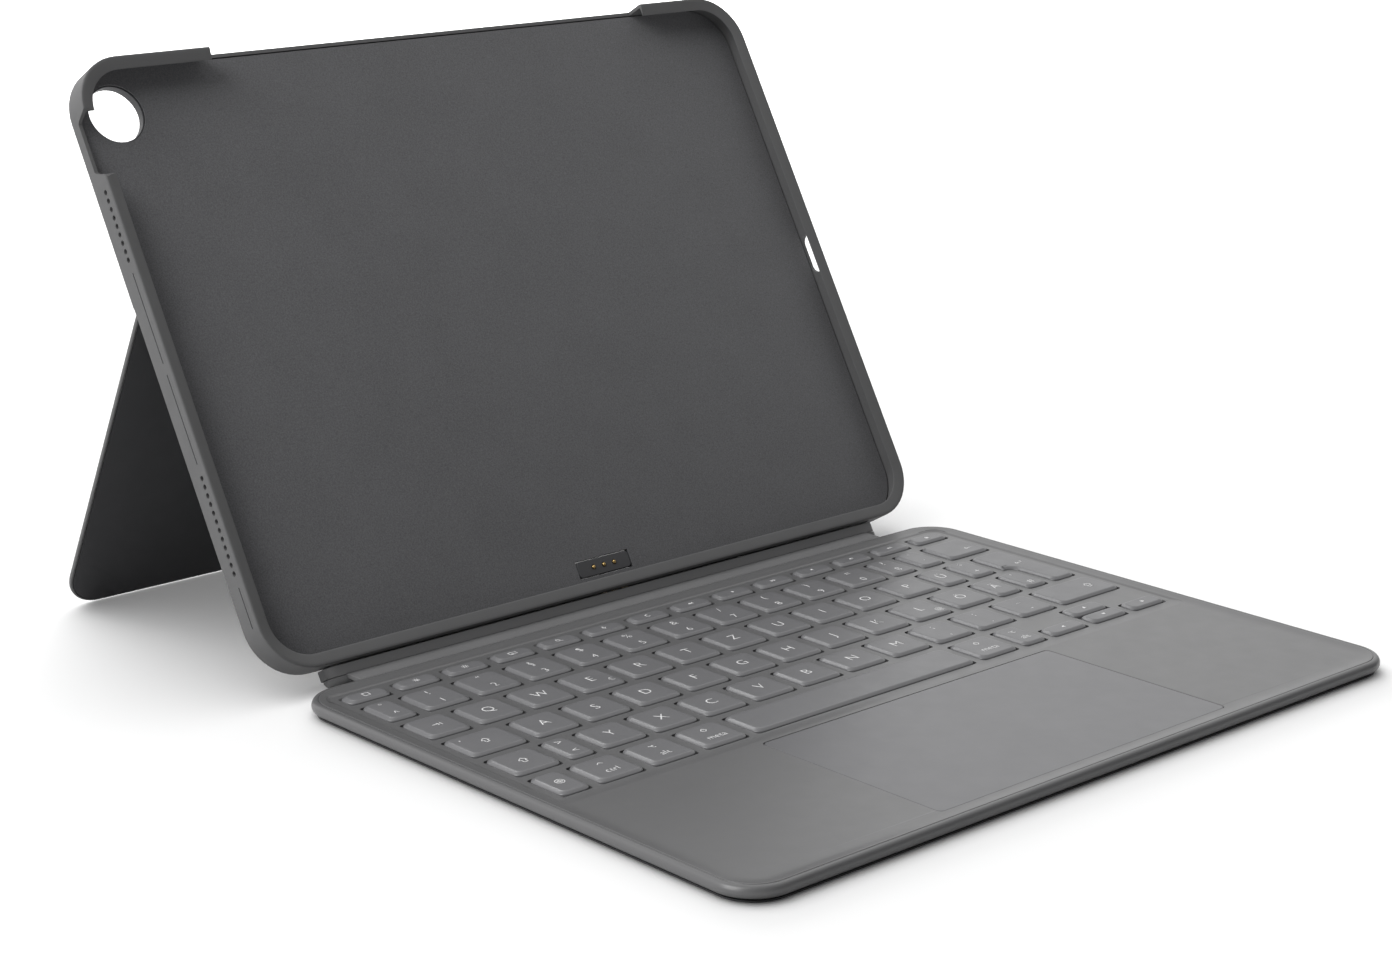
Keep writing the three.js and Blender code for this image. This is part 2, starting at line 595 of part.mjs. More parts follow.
function deckTop() {
  const body = deckSheet(0, [DECK_UNDERSIDE, DECK_TOP], DECK_CORNER);
  const crown = plate(centred(DECK_WIDTH), [-DECK_DEPTH, 0], DECK_CORNER,
    [DECK_UNDERSIDE - DECK_ROUND, DECK_TOP], { bevel: DECK_ROUND });
  const well = plate([-WELL_HALF_WIDTH, WELL_HALF_WIDTH], [WELL_FRONT, WELL_REAR], 3, [WELL_FLOOR, 6],
    { curveSegments: 2 });
  const cavity = deckSheet(DECK_WALL, [0, DECK_CEILING]);
  const padWindow = plate(centred(PAD_WIDTH + 0.6), around(PAD_CENTRE_Y, PAD_DEPTH + 0.6), 2, [0, 6],
    { curveSegments: 2 });
  return cut(body.intersect(crown), well, cavity, padWindow, openingBlock(enterBridge),
    ...CAP_OPENINGS.map(openingBlock));
}

// Low rubber domes on a thin sheet, one under each key.
function domeSheet() {
  const sheet = block([FIELD_LEFT, FIELD_RIGHT], [bottomFront, FUNCTION_REAR], [1.15, 1.22]);
  const domes = CAP_OPENINGS.map(({ x, y }) => {
    const middle = [(x[0] + x[1]) / 2, (y[0] + y[1]) / 2];
    return block(around(middle[0], 3), around(middle[1], 3), [1.2, 1.4]);
  });
  return join(sheet, ...domes);
}

function controllerBoard() {
  const board = block([66, 104], [-166, -124], [1.2, 1.8]);
  const chip = block([78, 88], [-150, -140], [1.7, 2.5]);
  const battery = block([92, 98], [-162, -130], [1.7, 2.4]);
  return join(board, chip, battery);
}

add(deck, 'deck_top', deckTop(), DECK_SKIN);
add(deck, 'bottom_skin', deckSheet(SKIN_INSET, [0, 0.45]), CHARCOAL);
add(deck, 'base_plate', deckSheet(DECK_WALL + FIT_GAP, [0.5, 0.75]), ALUMINIUM);
add(deck, 'light_guide', plate([-117, 117], [-104, -7], 2, [0.8, 0.95]), FILM);
add(deck, 'key_membrane', plate([-116.5, 116.5], [-103.5, -7.5], 2, [1.0, 1.1]), FILM);
add(deck, 'dome_sheet', domeSheet(), FILM);
add(deck, 'controller_board', controllerBoard(), BOARD);
add(deck, 'flex_cable', block([84, 90], [-123.7, -104.3], [1.2, 1.35]), FILM);
for (const [side, x] of [['left', -84], ['right', 84]]) {
  add(deck, `closure_magnet_${side}`, block(around(x, 24), [-175, -170], [1.0, 2.6]), MAGNET);
}

// Trackpad: the glass and its board move together on to the click switch.
add(deck, 'trackpad_glass', plate(centred(PAD_WIDTH - 0.2), around(PAD_CENTRE_Y, PAD_DEPTH - 0.2), 1.6,
  [3.4, PAD_TOP], { curveSegments: 2 }), PAD_GLASS);
add(deck, 'trackpad_board', block(centred(PAD_WIDTH - 6), around(PAD_CENTRE_Y, PAD_DEPTH - 6), [2.5, 3.3]), BOARD);
add(deck, 'click_switch', plate(around(0, 6), around(PAD_CENTRE_Y - 18, 6), 1, [1.0, 2.0]), STEEL);

// ---- Keys ----

const KEYS = {
  function_row_keys: keyBank(functionRow),
  number_row_keys: keyBank(numberRow.slice(0, 13)),
  top_letter_keys: keyBank(topRow.slice(1, 13)),
  home_letter_keys: keyBank(homeRow.slice(1, 13)),
  lower_letter_keys: keyBank(shiftRow.slice(1, 12)),
  backspace_key: capOver(numberRow[13]),
  tab_key: capOver(topRow[0]),
  enter_key: enterKey(),
  caps_lock_key: capOver(homeRow[0]),
  left_shift_key: capOver(shiftRow[0]),
  right_shift_key: capOver(shiftRow[12]),
  globe_key: capOver(bottomRow[0]),
  left_control_key: capOver(bottomRow[1]),
  left_option_key: capOver(bottomRow[2]),
  left_command_key: capOver(bottomRow[3]),
  space_bar: capOver(bottomRow[4]),
  right_command_key: capOver(bottomRow[5]),
  right_option_key: capOver(bottomRow[6]),
  arrow_left_key: capOver(frontHalf(leftArrowPlace)),
  arrow_up_key: capOver(rearHalf(middleArrowPlace)),
  arrow_down_key: capOver(frontHalf(middleArrowPlace)),
  arrow_right_key: capOver(frontHalf(rightArrowPlace)),
};
for (const [name, shape] of Object.entries(KEYS)) add(deck, name, shape, KEY_PLASTIC);

// ---- Assembly ----

tray.rotation.x = Math.PI / 2 - tilt;
tray.position.set(0, TRAY_FOOT_Y, TRAY_FOOT_HEIGHT);
model.updateMatrixWorld(true);
const footprint = new THREE.Box3().setFromObject(model, true);
model.position.y = -(footprint.min.y + footprint.max.y) / 2;

export default model;
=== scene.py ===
"""Looks of the tablet keyboard case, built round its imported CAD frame.

Shapes are made in millimetres in three local frames, the tray's, the kickstand's and the deck's, and are
then placed in the row frame in metres.
"""
import math

import bmesh
import bpy
from mathutils import Euler, Matrix, Vector


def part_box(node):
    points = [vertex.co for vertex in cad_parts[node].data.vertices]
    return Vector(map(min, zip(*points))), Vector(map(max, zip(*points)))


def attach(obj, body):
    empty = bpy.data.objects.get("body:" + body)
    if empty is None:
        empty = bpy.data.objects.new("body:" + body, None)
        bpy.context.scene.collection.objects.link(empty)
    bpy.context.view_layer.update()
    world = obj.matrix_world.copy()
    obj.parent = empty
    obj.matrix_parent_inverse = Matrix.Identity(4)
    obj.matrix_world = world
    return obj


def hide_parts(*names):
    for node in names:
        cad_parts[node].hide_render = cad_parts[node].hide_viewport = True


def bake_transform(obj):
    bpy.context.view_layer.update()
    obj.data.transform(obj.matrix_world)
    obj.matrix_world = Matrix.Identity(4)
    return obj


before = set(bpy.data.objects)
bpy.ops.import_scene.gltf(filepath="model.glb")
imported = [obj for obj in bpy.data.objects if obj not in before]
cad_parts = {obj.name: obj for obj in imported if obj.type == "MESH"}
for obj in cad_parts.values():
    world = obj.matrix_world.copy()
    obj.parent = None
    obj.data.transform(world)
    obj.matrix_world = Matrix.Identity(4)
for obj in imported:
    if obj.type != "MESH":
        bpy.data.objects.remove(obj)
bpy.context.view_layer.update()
MM = 0.001

# ---- Local frames ----

TRAY_TILT = math.radians(30)
TRAY_FOOT_Y = 7.73
TRAY_FOOT_HEIGHT = 7.22
HINGE_Y = 108.95
HINGE_Z = -9.15
STAND_LENGTH = 108.9
STAND_HALF = 0.75

DECK_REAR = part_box("deck_top")[1].y
DECK = Matrix.Translation((0, DECK_REAR, 0)) @ Matrix.Scale(MM, 4)
TRAY = (
    Matrix.Translation((0, DECK_REAR + TRAY_FOOT_Y * MM, TRAY_FOOT_HEIGHT * MM))
    @ Matrix.Rotation(math.pi / 2 - TRAY_TILT, 4, "X")
    @ Matrix.Scale(MM, 4)
)
hinge_height = TRAY_FOOT_HEIGHT + HINGE_Y * math.cos(TRAY_TILT) + HINGE_Z * math.sin(TRAY_TILT)
stand_reach = math.hypot(STAND_LENGTH, STAND_HALF)
stand_lean = math.atan2(STAND_HALF, STAND_LENGTH) + math.acos(hinge_height / stand_reach)
STAND = TRAY @ Matrix.Translation((0, HINGE_Y, HINGE_Z)) @ Matrix.Rotation(stand_lean + TRAY_TILT, 4, "X")

# ---- Materials ----

# Noise values mostly lie between these two.
NOISE_LOW, NOISE_HIGH = 0.3, 0.7


def principled(name, roughness, metallic=0.0, **sockets):
    material = bpy.data.materials.new(name)
    material.use_nodes = True
    shader = material.node_tree.nodes["Principled BSDF"]
    shader.inputs["Roughness"].default_value = roughness
    shader.inputs["Metallic"].default_value = metallic
    for socket, value in sockets.items():
        shader.inputs[socket.replace("_", " ")].default_value = value
    return material, material.node_tree, shader


def noise(tree, scale, detail, stretch=None):
    """Noise in object coordinates, in features per metre. Stretch scales each axis."""
    coordinates = tree.nodes.new("ShaderNodeTexCoord")
    texture = tree.nodes.new("ShaderNodeTexNoise")
    texture.inputs["Scale"].default_value = scale
    texture.inputs["Detail"].default_value = detail
    source = coordinates.outputs["Object"]
    if stretch:
        mapping = tree.nodes.new("ShaderNodeMapping")
        mapping.inputs["Scale"].default_value = stretch
        tree.links.new(source, mapping.inputs["Vector"])
        source = mapping.outputs["Vector"]
    tree.links.new(source, texture.inputs["Vector"])
    return texture.outputs["Fac"]


def ramp(tree, value, low, high):
    """Colour ramp from low to high over the middle of the noise's range."""
    node = tree.nodes.new("ShaderNodeValToRGB")
    stops = node.color_ramp.elements
    stops[0].position, stops[1].position = NOISE_LOW, NOISE_HIGH
    stops[0].color = (*low, 1)
    stops[1].color = (*high, 1)
    tree.links.new(value, node.inputs["Fac"])
    return node.outputs["Color"]


def spread(tree, value, low, high, start=NOISE_LOW, end=NOISE_HIGH):
    """Plain number that goes from low to high as value goes from start to end."""
    node = tree.nodes.new("ShaderNodeMapRange")
    for socket, number in zip(("From Min", "From Max", "To Min", "To Max"), (start, end, low, high)):
        node.inputs[socket].default_value = number
    tree.links.new(value, node.inputs["Value"])
    return node.outputs["Result"]


def bump(tree, shader, height, distance, strength, under=None):
    """Bumps of this depth in metres, on top of those given as under."""
    node = tree.nodes.new("ShaderNodeBump")
    node.inputs["Strength"].default_value = strength
    node.inputs["Distance"].default_value = distance
    tree.links.new(height, node.inputs["Height"])
    if under is not None:
        tree.links.new(under, node.inputs["Normal"])
    tree.links.new(node.outputs["Normal"], shader.inputs["Normal"])
    return node.outputs["Normal"]


def tone(colour, factor):
    return tuple(channel * factor for channel in colour)


def moulded(name, colour, roughness, grain, grain_depth, mottle=0.028, roughness_range=0.05, **sockets):
    """Moulded plastic or rubber: fine grain, slow changes of tone, and patches of more and less gloss."""
    material, tree, shader = principled(name, roughness, **sockets)
    shades = ramp(tree, noise(tree, 35, 4), tone(colour, 1 - mottle), tone(colour, 1 + mottle))
    tree.links.new(shades, shader.inputs["Base Color"])
    patches = noise(tree, 160, 5)
    gloss = spread(tree, patches, roughness - roughness_range, roughness + roughness_range)
    tree.links.new(gloss, shader.inputs["Roughness"])
    wave = bump(tree, shader, noise(tree, 220, 2), 0.00002, 0.2)
    bump(tree, shader, noise(tree, grain, 2), grain_depth, 0.5, wave)
    return material


def napped(name, colour):
    """Short-piled microfibre: two sizes of tangled fibre, and a soft sheen."""
    material, tree, shader = principled(name, 0.95, Sheen_Weight=0.35, Sheen_Roughness=0.5)
    fibres = noise(tree, 2600, 4, (1.0, 0.45, 1.0))
    clouds = noise(tree, 60, 5)
    mix = tree.nodes.new("ShaderNodeMix")
    mix.data_type = "RGBA"
    tree.links.new(spread(tree, clouds, 0.2, 0.8), mix.inputs["Factor"])
    tree.links.new(ramp(tree, fibres, tone(colour, 0.7), tone(colour, 1.2)), mix.inputs["A"])
    tree.links.new(ramp(tree, fibres, tone(colour, 0.85), tone(colour, 1.35)), mix.inputs["B"])
    tree.links.new(mix.outputs["Result"], shader.inputs["Base Color"])
    bump(tree, shader, fibres, 0.00008, 0.7)
    return material


def metal(name, colour, roughness, stretch, grain=900):
    """Metal with fine marks along one axis."""
    material, tree, shader = principled(name, roughness, 1.0)
    marks = noise(tree, grain, 4, stretch)
    tree.links.new(ramp(tree, marks, tone(colour, 0.88), tone(colour, 1.08)), shader.inputs["Base Color"])
    tree.links.new(spread(tree, marks, roughness - 0.08, roughness + 0.1), shader.inputs["Roughness"])
    bump(tree, shader, marks, 0.00001, 0.4)
    return material


def film(name, colour):
    """Milky film with a faint surface ripple."""
    material, tree, shader = principled(name, 0.35, Coat_Weight=0.3)
    ripple = noise(tree, 90, 3)
    tree.links.new(ramp(tree, ripple, tone(colour, 0.93), tone(colour, 1.03)), shader.inputs["Base Color"])
    bump(tree, shader, ripple, 0.00005, 0.3)
    return material


def board(name):
    """Circuit board: solder mask over copper tracks, which show as a faint grid."""
    material, tree, shader = principled(name, 0.4, Coat_Weight=0.4)
    coordinates = tree.nodes.new("ShaderNodeTexCoord")
    tracks = tree.nodes.new("ShaderNodeTexBrick")
    tracks.inputs["Scale"].default_value = 450
    tracks.inputs["Color1"].default_value = (0.012, 0.075, 0.035, 1)
    tracks.inputs["Color2"].default_value = (0.016, 0.09, 0.045, 1)
    tracks.inputs["Mortar"].default_value = (0.05, 0.16, 0.07, 1)
    tree.links.new(coordinates.outputs["Object"], tracks.inputs["Vector"])
    tree.links.new(tracks.outputs["Color"], shader.inputs["Base Color"])
    bump(tree, shader, tracks.outputs["Fac"], 0.00003, 0.5)
    return material


GREY = (0.094, 0.094, 0.0955)
SOFT_TOUCH = moulded("soft_touch_grey", GREY, 0.6, 3200, 0.00003)
DECK_SKIN = moulded("deck_skin_grey", (0.086, 0.086, 0.0875), 0.34, 3600, 0.000014, 0.018, 0.02)
KEY_PLASTIC = moulded("key_plastic_grey", (0.092, 0.092, 0.096), 0.38, 4200, 0.00001, 0.02, 0.03)
PAD_SURFACE = moulded("trackpad_grey", (0.086, 0.086, 0.091), 0.32, 5000, 0.000005, 0.015, 0.02)
# The tray's soft-touch grey again, painted 1.35 times lighter for the dock bar, the flap and the fold strips:
# painted light that stands in for light falling on them.
SOFT_TOUCH_PAINTED_LIGHT = moulded("soft_touch_painted_light", tone(GREY, 1.35), 0.6, 3200, 0.00003)
CHARCOAL = moulded("charcoal_rubber", (0.038, 0.038, 0.041), 0.7, 2600, 0.00003, 0.03, 0.03)
HARD_PLASTIC = moulded("hard_plastic_dark", (0.06, 0.06, 0.064), 0.55, 3000, 0.00002)
LINING = napped("microfibre_grey", (0.085, 0.085, 0.09))
STEEL = metal("brushed_steel", (0.42, 0.43, 0.44), 0.34, (0.05, 1, 1))
ALUMINIUM = metal("rolled_aluminium", (0.6, 0.6, 0.61), 0.4, (1, 0.05, 1))
MAGNET = metal("plated_magnet", (0.5, 0.5, 0.52), 0.25, (1, 1, 1), 300)
GOLD = metal("gold_contact", (0.83, 0.58, 0.24), 0.25, (1, 1, 0.1))
FILM = film("milky_film", (0.62, 0.62, 0.58))
BOARD = board("circuit_board")
LEGEND = moulded("legend_ink", (0.72, 0.72, 0.72), 0.55, 3000, 0.000005, 0.03)

# ---- Mesh tools ----

SHARP_ANGLE = 35.0
BEVEL_ANGLE = 50


def cross(a, b):
    return a.x * b.y - a.y * b.x


def outline(corners, radii, inset=0.0, steps=6, least=0.05):
    """Outline of an anticlockwise polygon whose sides move in by inset, with rounded corners.

    A convex corner's radius shrinks with the inset, and a concave one's grows.
    """
    count = len(corners)
    points = [Vector(corner) for corner in corners]
    lines = []
    for i in range(count):
        along = (points[(i + 1) % count] - points[i]).normalized()
        lines.append((points[i] + inset * Vector((-along.y, along.x)), along))
    result = []
    for i in range(count):
        (p, before), (q, after) = lines[i - 1], lines[i]
        corner = p + before * (cross(q - p, after) / cross(before, after))
        angle = math.atan2(cross(before, after), before.dot(after))
        radius = max(radii[i] - inset, least) if angle > 0 else radii[i] + inset
        reach = radius * math.tan(abs(angle) / 2)
        start = corner - before * reach
        side = Vector((-before.y, before.x)) * math.copysign(radius, angle)
        centre = start + side
        arm = -side
        for k in range(steps + 1):
            sweep = angle * k / steps
            result.append(centre + Vector((
                arm.x * math.cos(sweep) - arm.y * math.sin(sweep),
                arm.x * math.sin(sweep) + arm.y * math.cos(sweep),
            )))
    return result


def rectangle(x0, x1, y0, y1):
    return [(x0, y0), (x1, y0), (x1, y1), (x0, y1)]


def stitch(bm, first, second):
    for i in range(len(first)):
        j = (i + 1) % len(first)
        bm.faces.new((first[i], first[j], second[j], second[i]))


def skin(bm, loops, ring=False):
    """Joins loops of points into a surface.

    A ring runs round to its first loop. Otherwise the first and last loops are filled.
    """
    rows = [[bm.verts.new(point) for point in loop] for loop in loops]
    for first, second in zip(rows, rows[1:]):
        stitch(bm, first, second)
    if ring:
        stitch(bm, rows[-1], rows[0])
    else:
        bm.faces.new(reversed(rows[0]))
        bm.faces.new(rows[-1])


def profile_loops(corners, radii, profile, steps=6, least=0.05):
    """One loop for each (inset, z) of the profile."""
    return [
        [(point.x, point.y, z) for point in outline(corners, radii, inset, steps, least)]
        for inset, z in profile
    ]


def arc(centre, radius, start, end, steps):
    """Points of an arc, angles in degrees."""
    result = []
    for k in range(steps + 1):
        angle = math.radians(start + (end - start) * k / steps)
        result.append((centre[0] + radius * math.cos(angle), centre[1] + radius * math.sin(angle)))
    return result


def slab_profile(z0, z1, edge, steps=4):
    """Profile of a slab from its lower face to its upper face, both rims rounded."""
    lower = [(edge - x, z0 + edge - y) for x, y in arc((0, 0), edge, 90, 0, steps)]
    upper = [(edge - x, z1 - edge + y) for x, y in arc((0, 0), edge, 0, 90, steps)]
    return lower + upper


def finish_mesh(bm, matrix, sharp=SHARP_ANGLE):
    """Mesh of the bmesh, moved by the matrix, with edges steeper than sharp degrees kept sharp."""
    bmesh.ops.recalc_face_normals(bm, faces=bm.faces)
    mesh = bpy.data.meshes.new("mesh")
    bm.to_mesh(mesh)
    bm.free()
    mesh.transform(matrix)
    mesh.shade_smooth()
    mesh.set_sharp_from_angle(angle=math.radians(sharp))
    return mesh


def piece(name, bm, matrix, body, material, nodes=(), sharp=SHARP_ANGLE,
          cutters=None, bevel=0.0):
    """Adds a piece that rides on a body, if one is given, cut by the cutters, with weighted normals."""
    obj = bpy.data.objects.new(name, finish_mesh(bm, matrix, sharp))
    bpy.context.scene.collection.objects.link(obj)
    obj.data.materials.append(material)
    if cutters is not None:
        cut(obj, cutters, matrix, sharp)
    if bevel:
        edges = obj.modifiers.new("edges", "BEVEL")
        edges.width = bevel * MM
        edges.segments = 2
        edges.limit_method = "ANGLE"
        edges.angle_limit = math.radians(BEVEL_ANGLE)
        edges.use_clamp_overlap = True
    normals = obj.modifiers.new("normals", "WEIGHTED_NORMAL")
    normals.keep_sharp = True
    if body:
        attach(obj, body)
    if nodes:
        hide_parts(*nodes)
    return obj


def cut(obj, cutters, matrix, sharp):
    """Takes the cutters' volume away from the object, and applies it."""
    tool = bpy.data.objects.new("cutter", finish_mesh(cutters, matrix))
    bpy.context.scene.collection.objects.link(tool)
    difference = obj.modifiers.new("cut", "BOOLEAN")
    difference.object = tool
    difference.operation = "DIFFERENCE"
    difference.solver = "EXACT"
    bpy.context.view_layer.update()
    evaluated = obj.evaluated_get(bpy.context.evaluated_depsgraph_get())
    mesh = bpy.data.meshes.new_from_object(evaluated)
    obj.modifiers.remove(difference)
    obj.data = mesh
    mesh.shade_smooth()
    mesh.set_sharp_from_angle(angle=math.radians(sharp))
    bpy.data.objects.remove(tool)


def add_box(bm, x, y, z):
    skin(bm, [[(px, py, pz) for px, py in rectangle(*x, *y)] for pz in z])


def add_rod(bm, axis, radius, length, centre, sides=16, rounding=0.0):
    """Closed rod along an axis, its ends rounded if asked."""
    half = length / 2
    if rounding:
        ends = [(radius - rounding + rounding * math.sin(a), half - rounding + rounding * math.cos(a))
                for a in (0, math.pi / 6, math.pi / 3, math.pi / 2)]
        sections = [(r, -h) for r, h in ends] + [(r, h) for r, h in reversed(ends)]
    else:
        sections = [(radius, -half), (radius, half)]
    order = {"x": (2, 0, 1), "y": (1, 2, 0), "z": (0, 1, 2)}[axis]
    loops = []
    for r, h in sections:
        loop = []
        for k in range(sides):
            angle = 2 * math.pi * k / sides
            local = (r * math.cos(angle), r * math.sin(angle), h)
            loop.append([centre[i] + local[order[i]] for i in range(3)])
        loops.append(loop)
    skin(bm, loops)


def extrude_x(bm, corners, radii, half_length, end_round, shrink, steps=4):
    """Solid with a (y, z) section along X. Towards its ends the section shrinks about its middle.

    shrink is how much of the section's y and z sizes is lost at the very end.
    """
    section = outline(corners, radii, 0, steps)
    middle = sum(section, Vector((0, 0))) / len(section)
    ends = []
    for angle in (0, 15, 30, 45, 60, 75, 90):
        turned = math.radians(angle)
        ends.append((half_length - end_round * (1 - math.sin(turned)), 1 - math.cos(turned)))
    loops = []
    for x, lost in [(-x, lost) for x, lost in reversed(ends)] + ends:
        wide, high = 1 - shrink[0] * lost, 1 - shrink[1] * lost
        loops.append([
            (x, middle.x + (p.x - middle.x) * wide, middle.y + (p.y - middle.y) * high) for p in section
        ])
    skin(bm, loops)


def centred(width):
    return (-width / 2, width / 2)


def around(centre, size):
    return (centre - size / 2, centre + size / 2)


# ---- Tray ----

TRAY_WIDTH = 250.2
TRAY_HEIGHT = 181.8
TRAY_CORNER = 15.5
TRAY_CORNERS = rectangle(*centred(TRAY_WIDTH), 0, TRAY_HEIGHT)
WALL_BACK = -8.3
LEDGE_FRONT = -7.65
POCKET_INSET = 1.1
SIDE_LINE = -2.3
SPEAKER_PITCH = 2.52
CAMERA = (-111.0, 167.1)
CAMERA_HOLE = 8.8
RING_HOLE = 9.8
PIN_PITCH = 4.0
CONTACT_Y = 8.5
CONTACT_LENGTH = 20
VOLUME_BUTTONS = (("volume_up", -104), ("volume_down", -91))
BUTTON_Z = -3.4
HINGE_X = 78
HINGE_SLOT = 34.6
BACK_WIDTH = 248

FRAME_PROFILE = (
    [(4.0, WALL_BACK)]
    + [(1.0 - x, -7.3 - y) for x, y in arc((0, 0), 1.0, 90, 0, 4)]
    + [(0.0, -4.0), (0.0, -0.8)]
    + [(0.5 - x, 0.12 + y) for x, y in arc((0, 0), 0.5, 0, 76, 6)]
    + [(0.75, 0.62), (1.1, 0.56), (2.1, 0.33), (3.3, 0.0)]
    + [(3.65, -0.1), (3.84, -0.19), (3.9, -0.27), (3.8, -0.35)]
    + [(POCKET_INSET + 0.25, -0.35), (POCKET_INSET, -0.6), (POCKET_INSET, LEDGE_FRONT + 0.4)]
    + [(POCKET_INSET + 0.4, LEDGE_FRONT), (4.0, LEDGE_FRONT)]
)


def relief_cutter(bm):
    """Scoop for the power button: it opens the lip and the front half of the left wall."""
    low, high, floor, lip, top, slope, steps = 146.9, 167.5, -4.4, 0.6, 2.0, 3.2, 8
    descent = []
    for k in range(steps + 1):
        ease = (1 - math.cos(math.pi * k / steps)) / 2
        descent.append((slope * k / steps, lip + (floor - lip) * ease))
    line = [(low - 0.6, top)] + [(low + y, z) for y, z in descent]
    line += [(high - y, z) for y, z in reversed(descent)] + [(high + 0.6, top)]
    skin(bm, [[(x, y, z) for y, z in line] for x in (-TRAY_WIDTH / 2 - 1, -TRAY_WIDTH / 2 + 5)])


def tray_cutters():
    """Openings of the bumper: top edge, power button, speakers, grooves, charging port, contacts, volume."""
    bm = bmesh.new()
    half = TRAY_WIDTH / 2
    add_box(bm, (-78.6, 86), (175.4, TRAY_HEIGHT + 1), (-6.1, 2))
    relief_cutter(bm)
    for side in (-1, 1):
        for top, count in ((143.15, 9), (58.65, 12)):
            for i in range(count):
                centre = (side * half, top - i * SPEAKER_PITCH, SIDE_LINE)
                add_rod(bm, "x", 0.78, 6, centre, 16)
        for low, high in ((92.35, 119.15), (62.75, 89.05), (15.05, 26.95)):
            if side > 0:
                low, high = (max(low, 100.7), high) if low > 90 else (low, min(high, 80.7))
            add_box(bm, around(side * half, 0.7), (low, high), around(SIDE_LINE, 0.4))
    port = outline([(-6.2, 84.2), (-0.4, 84.2), (-0.4, 97.2), (-6.2, 97.2)], [2.88] * 4, steps=6)
    skin(bm, [[(x, p.y, p.x) for p in port] for x in (half - 3, half + 3)])
    add_box(bm, centred(CONTACT_LENGTH), (-1, 2.2), (-6.4, -4.0))
    for _, x in VOLUME_BUTTONS:
        opening = outline(rectangle(*around(x, 10.9), *around(BUTTON_Z, 2.7)), [1.2] * 4, steps=4)
        skin(bm, [[(p.x, y, p.y) for p in opening] for y in (TRAY_HEIGHT - 3, TRAY_HEIGHT + 1)])
    return bm


bumper = bmesh.new()
skin(bumper, profile_loops(TRAY_CORNERS, [TRAY_CORNER] * 4, FRAME_PROFILE, 12), ring=True)
piece("bumper_frame_shape", bumper, TRAY, "tray", SOFT_TOUCH, ["bumper_frame"],
      cutters=tray_cutters(), bevel=0.12)


def pocket_corners(gap):
    inset = POCKET_INSET + gap
    return rectangle(-TRAY_WIDTH / 2 + inset, TRAY_WIDTH / 2 - inset, inset, TRAY_HEIGHT - inset)


lining = bmesh.new()
skin(lining, profile_loops(pocket_corners(0.4), [14] * 4, slab_profile(-6.5, -6.15, 0.12, 2), 12))
holes = bmesh.new()
add_rod(holes, "z", CAMERA_HOLE, 4, (*CAMERA, -6.3), 48)
add_box(holes, centred(CONTACT_LENGTH + 0.6), around(CONTACT_Y, 5.6), (-8, -5))
piece("microfibre_lining_shape", lining, TRAY, "tray", LINING, ["microfibre_lining"], cutters=holes)

COVER_CORNERS = rectangle(*centred(BACK_WIDTH), HINGE_Y + 1.7, TRAY_HEIGHT - 0.6)
cover = bmesh.new()
skin(cover, profile_loops(COVER_CORNERS, [0.6, 0.6, 14.6, 14.6], slab_profile(-9.9, -8.4, 0.45), 12))
holes = bmesh.new()
add_rod(holes, "z", RING_HOLE, 6, (*CAMERA, -9), 48)
for side in (-1, 1):
    add_box(holes, around(side * HINGE_X, HINGE_SLOT), (HINGE_Y - 1.4, HINGE_Y + 2.0), (-11, -7))
piece("upper_back_cover_shape", cover, TRAY, "tray", SOFT_TOUCH, ["upper_back_cover"],
      cutters=holes)

# Camera ring: a turned ring with a rounded outer rim and a bevel towards the lens.
RING_SIDES = 48
ring_section = [(9.5, -6.8), (8.4, -6.8), (8.4, -9.3), (8.9, -10.1),
                (9.2, -10.2), (9.45, -10.05), (9.5, -9.8)]
ring = bmesh.new()
skin(ring, [
    [(CAMERA[0] + r * math.cos(a), CAMERA[1] + r * math.sin(a), z) for r, z in ring_section]
    for a in (2 * math.pi * k / RING_SIDES for k in range(RING_SIDES))
], ring=True)
piece("camera_ring_shape", ring, TRAY, "tray", HARD_PLASTIC, ["camera_ring"])

# Sprung contacts: pins on a common foot, in a block that is hollow below.
block = bmesh.new()
block_corners = rectangle(*centred(CONTACT_LENGTH), *around(CONTACT_Y, 5))
skin(block, profile_loops(block_corners, [1.2] * 4, slab_profile(-7.5, -6.2, 0.2)))
holes = bmesh.new()
for i in (-1, 0, 1):
    add_rod(holes, "z", 0.8, 4, (i * PIN_PITCH, CONTACT_Y, -6.6), 24)
add_box(holes, centred(12), around(CONTACT_Y, 2), (-8, -6.9))
piece("contact_block_shape", block, TRAY, "tray", HARD_PLASTIC, ["contact_block"],
      cutters=holes)

pins = bmesh.new()
add_box(pins, centred(11), around(CONTACT_Y, 1.4), (-7.45, -7.05))
for i in (-1, 0, 1):
    add_rod(pins, "z", 0.55, 1.3, (i * PIN_PITCH, CONTACT_Y, -6.5), 20, 0.25)
piece("contact_pins_shape", pins, TRAY, "tray", GOLD, ["contact_pins"])

# Contacts in the tray's lower edge: a plastic carrier with three gold pads on its outer side.
carrier = bmesh.new()
add_box(carrier, centred(CONTACT_LENGTH - 0.6), (0.45, 1.05), (-6.2, -4.2))
piece("edge_contact_carrier", carrier, TRAY, "tray", HARD_PLASTIC, ["edge_contacts"],
      bevel=0.08)
pads = bmesh.new()
for i in (-1, 0, 1):
    add_box(pads, around(i * PIN_PITCH, 2), (0.1, 0.5), (-5.9, -4.5))
piece("edge_contact_pads", pads, TRAY, "tray", GOLD, ["edge_contacts"], bevel=0.05)

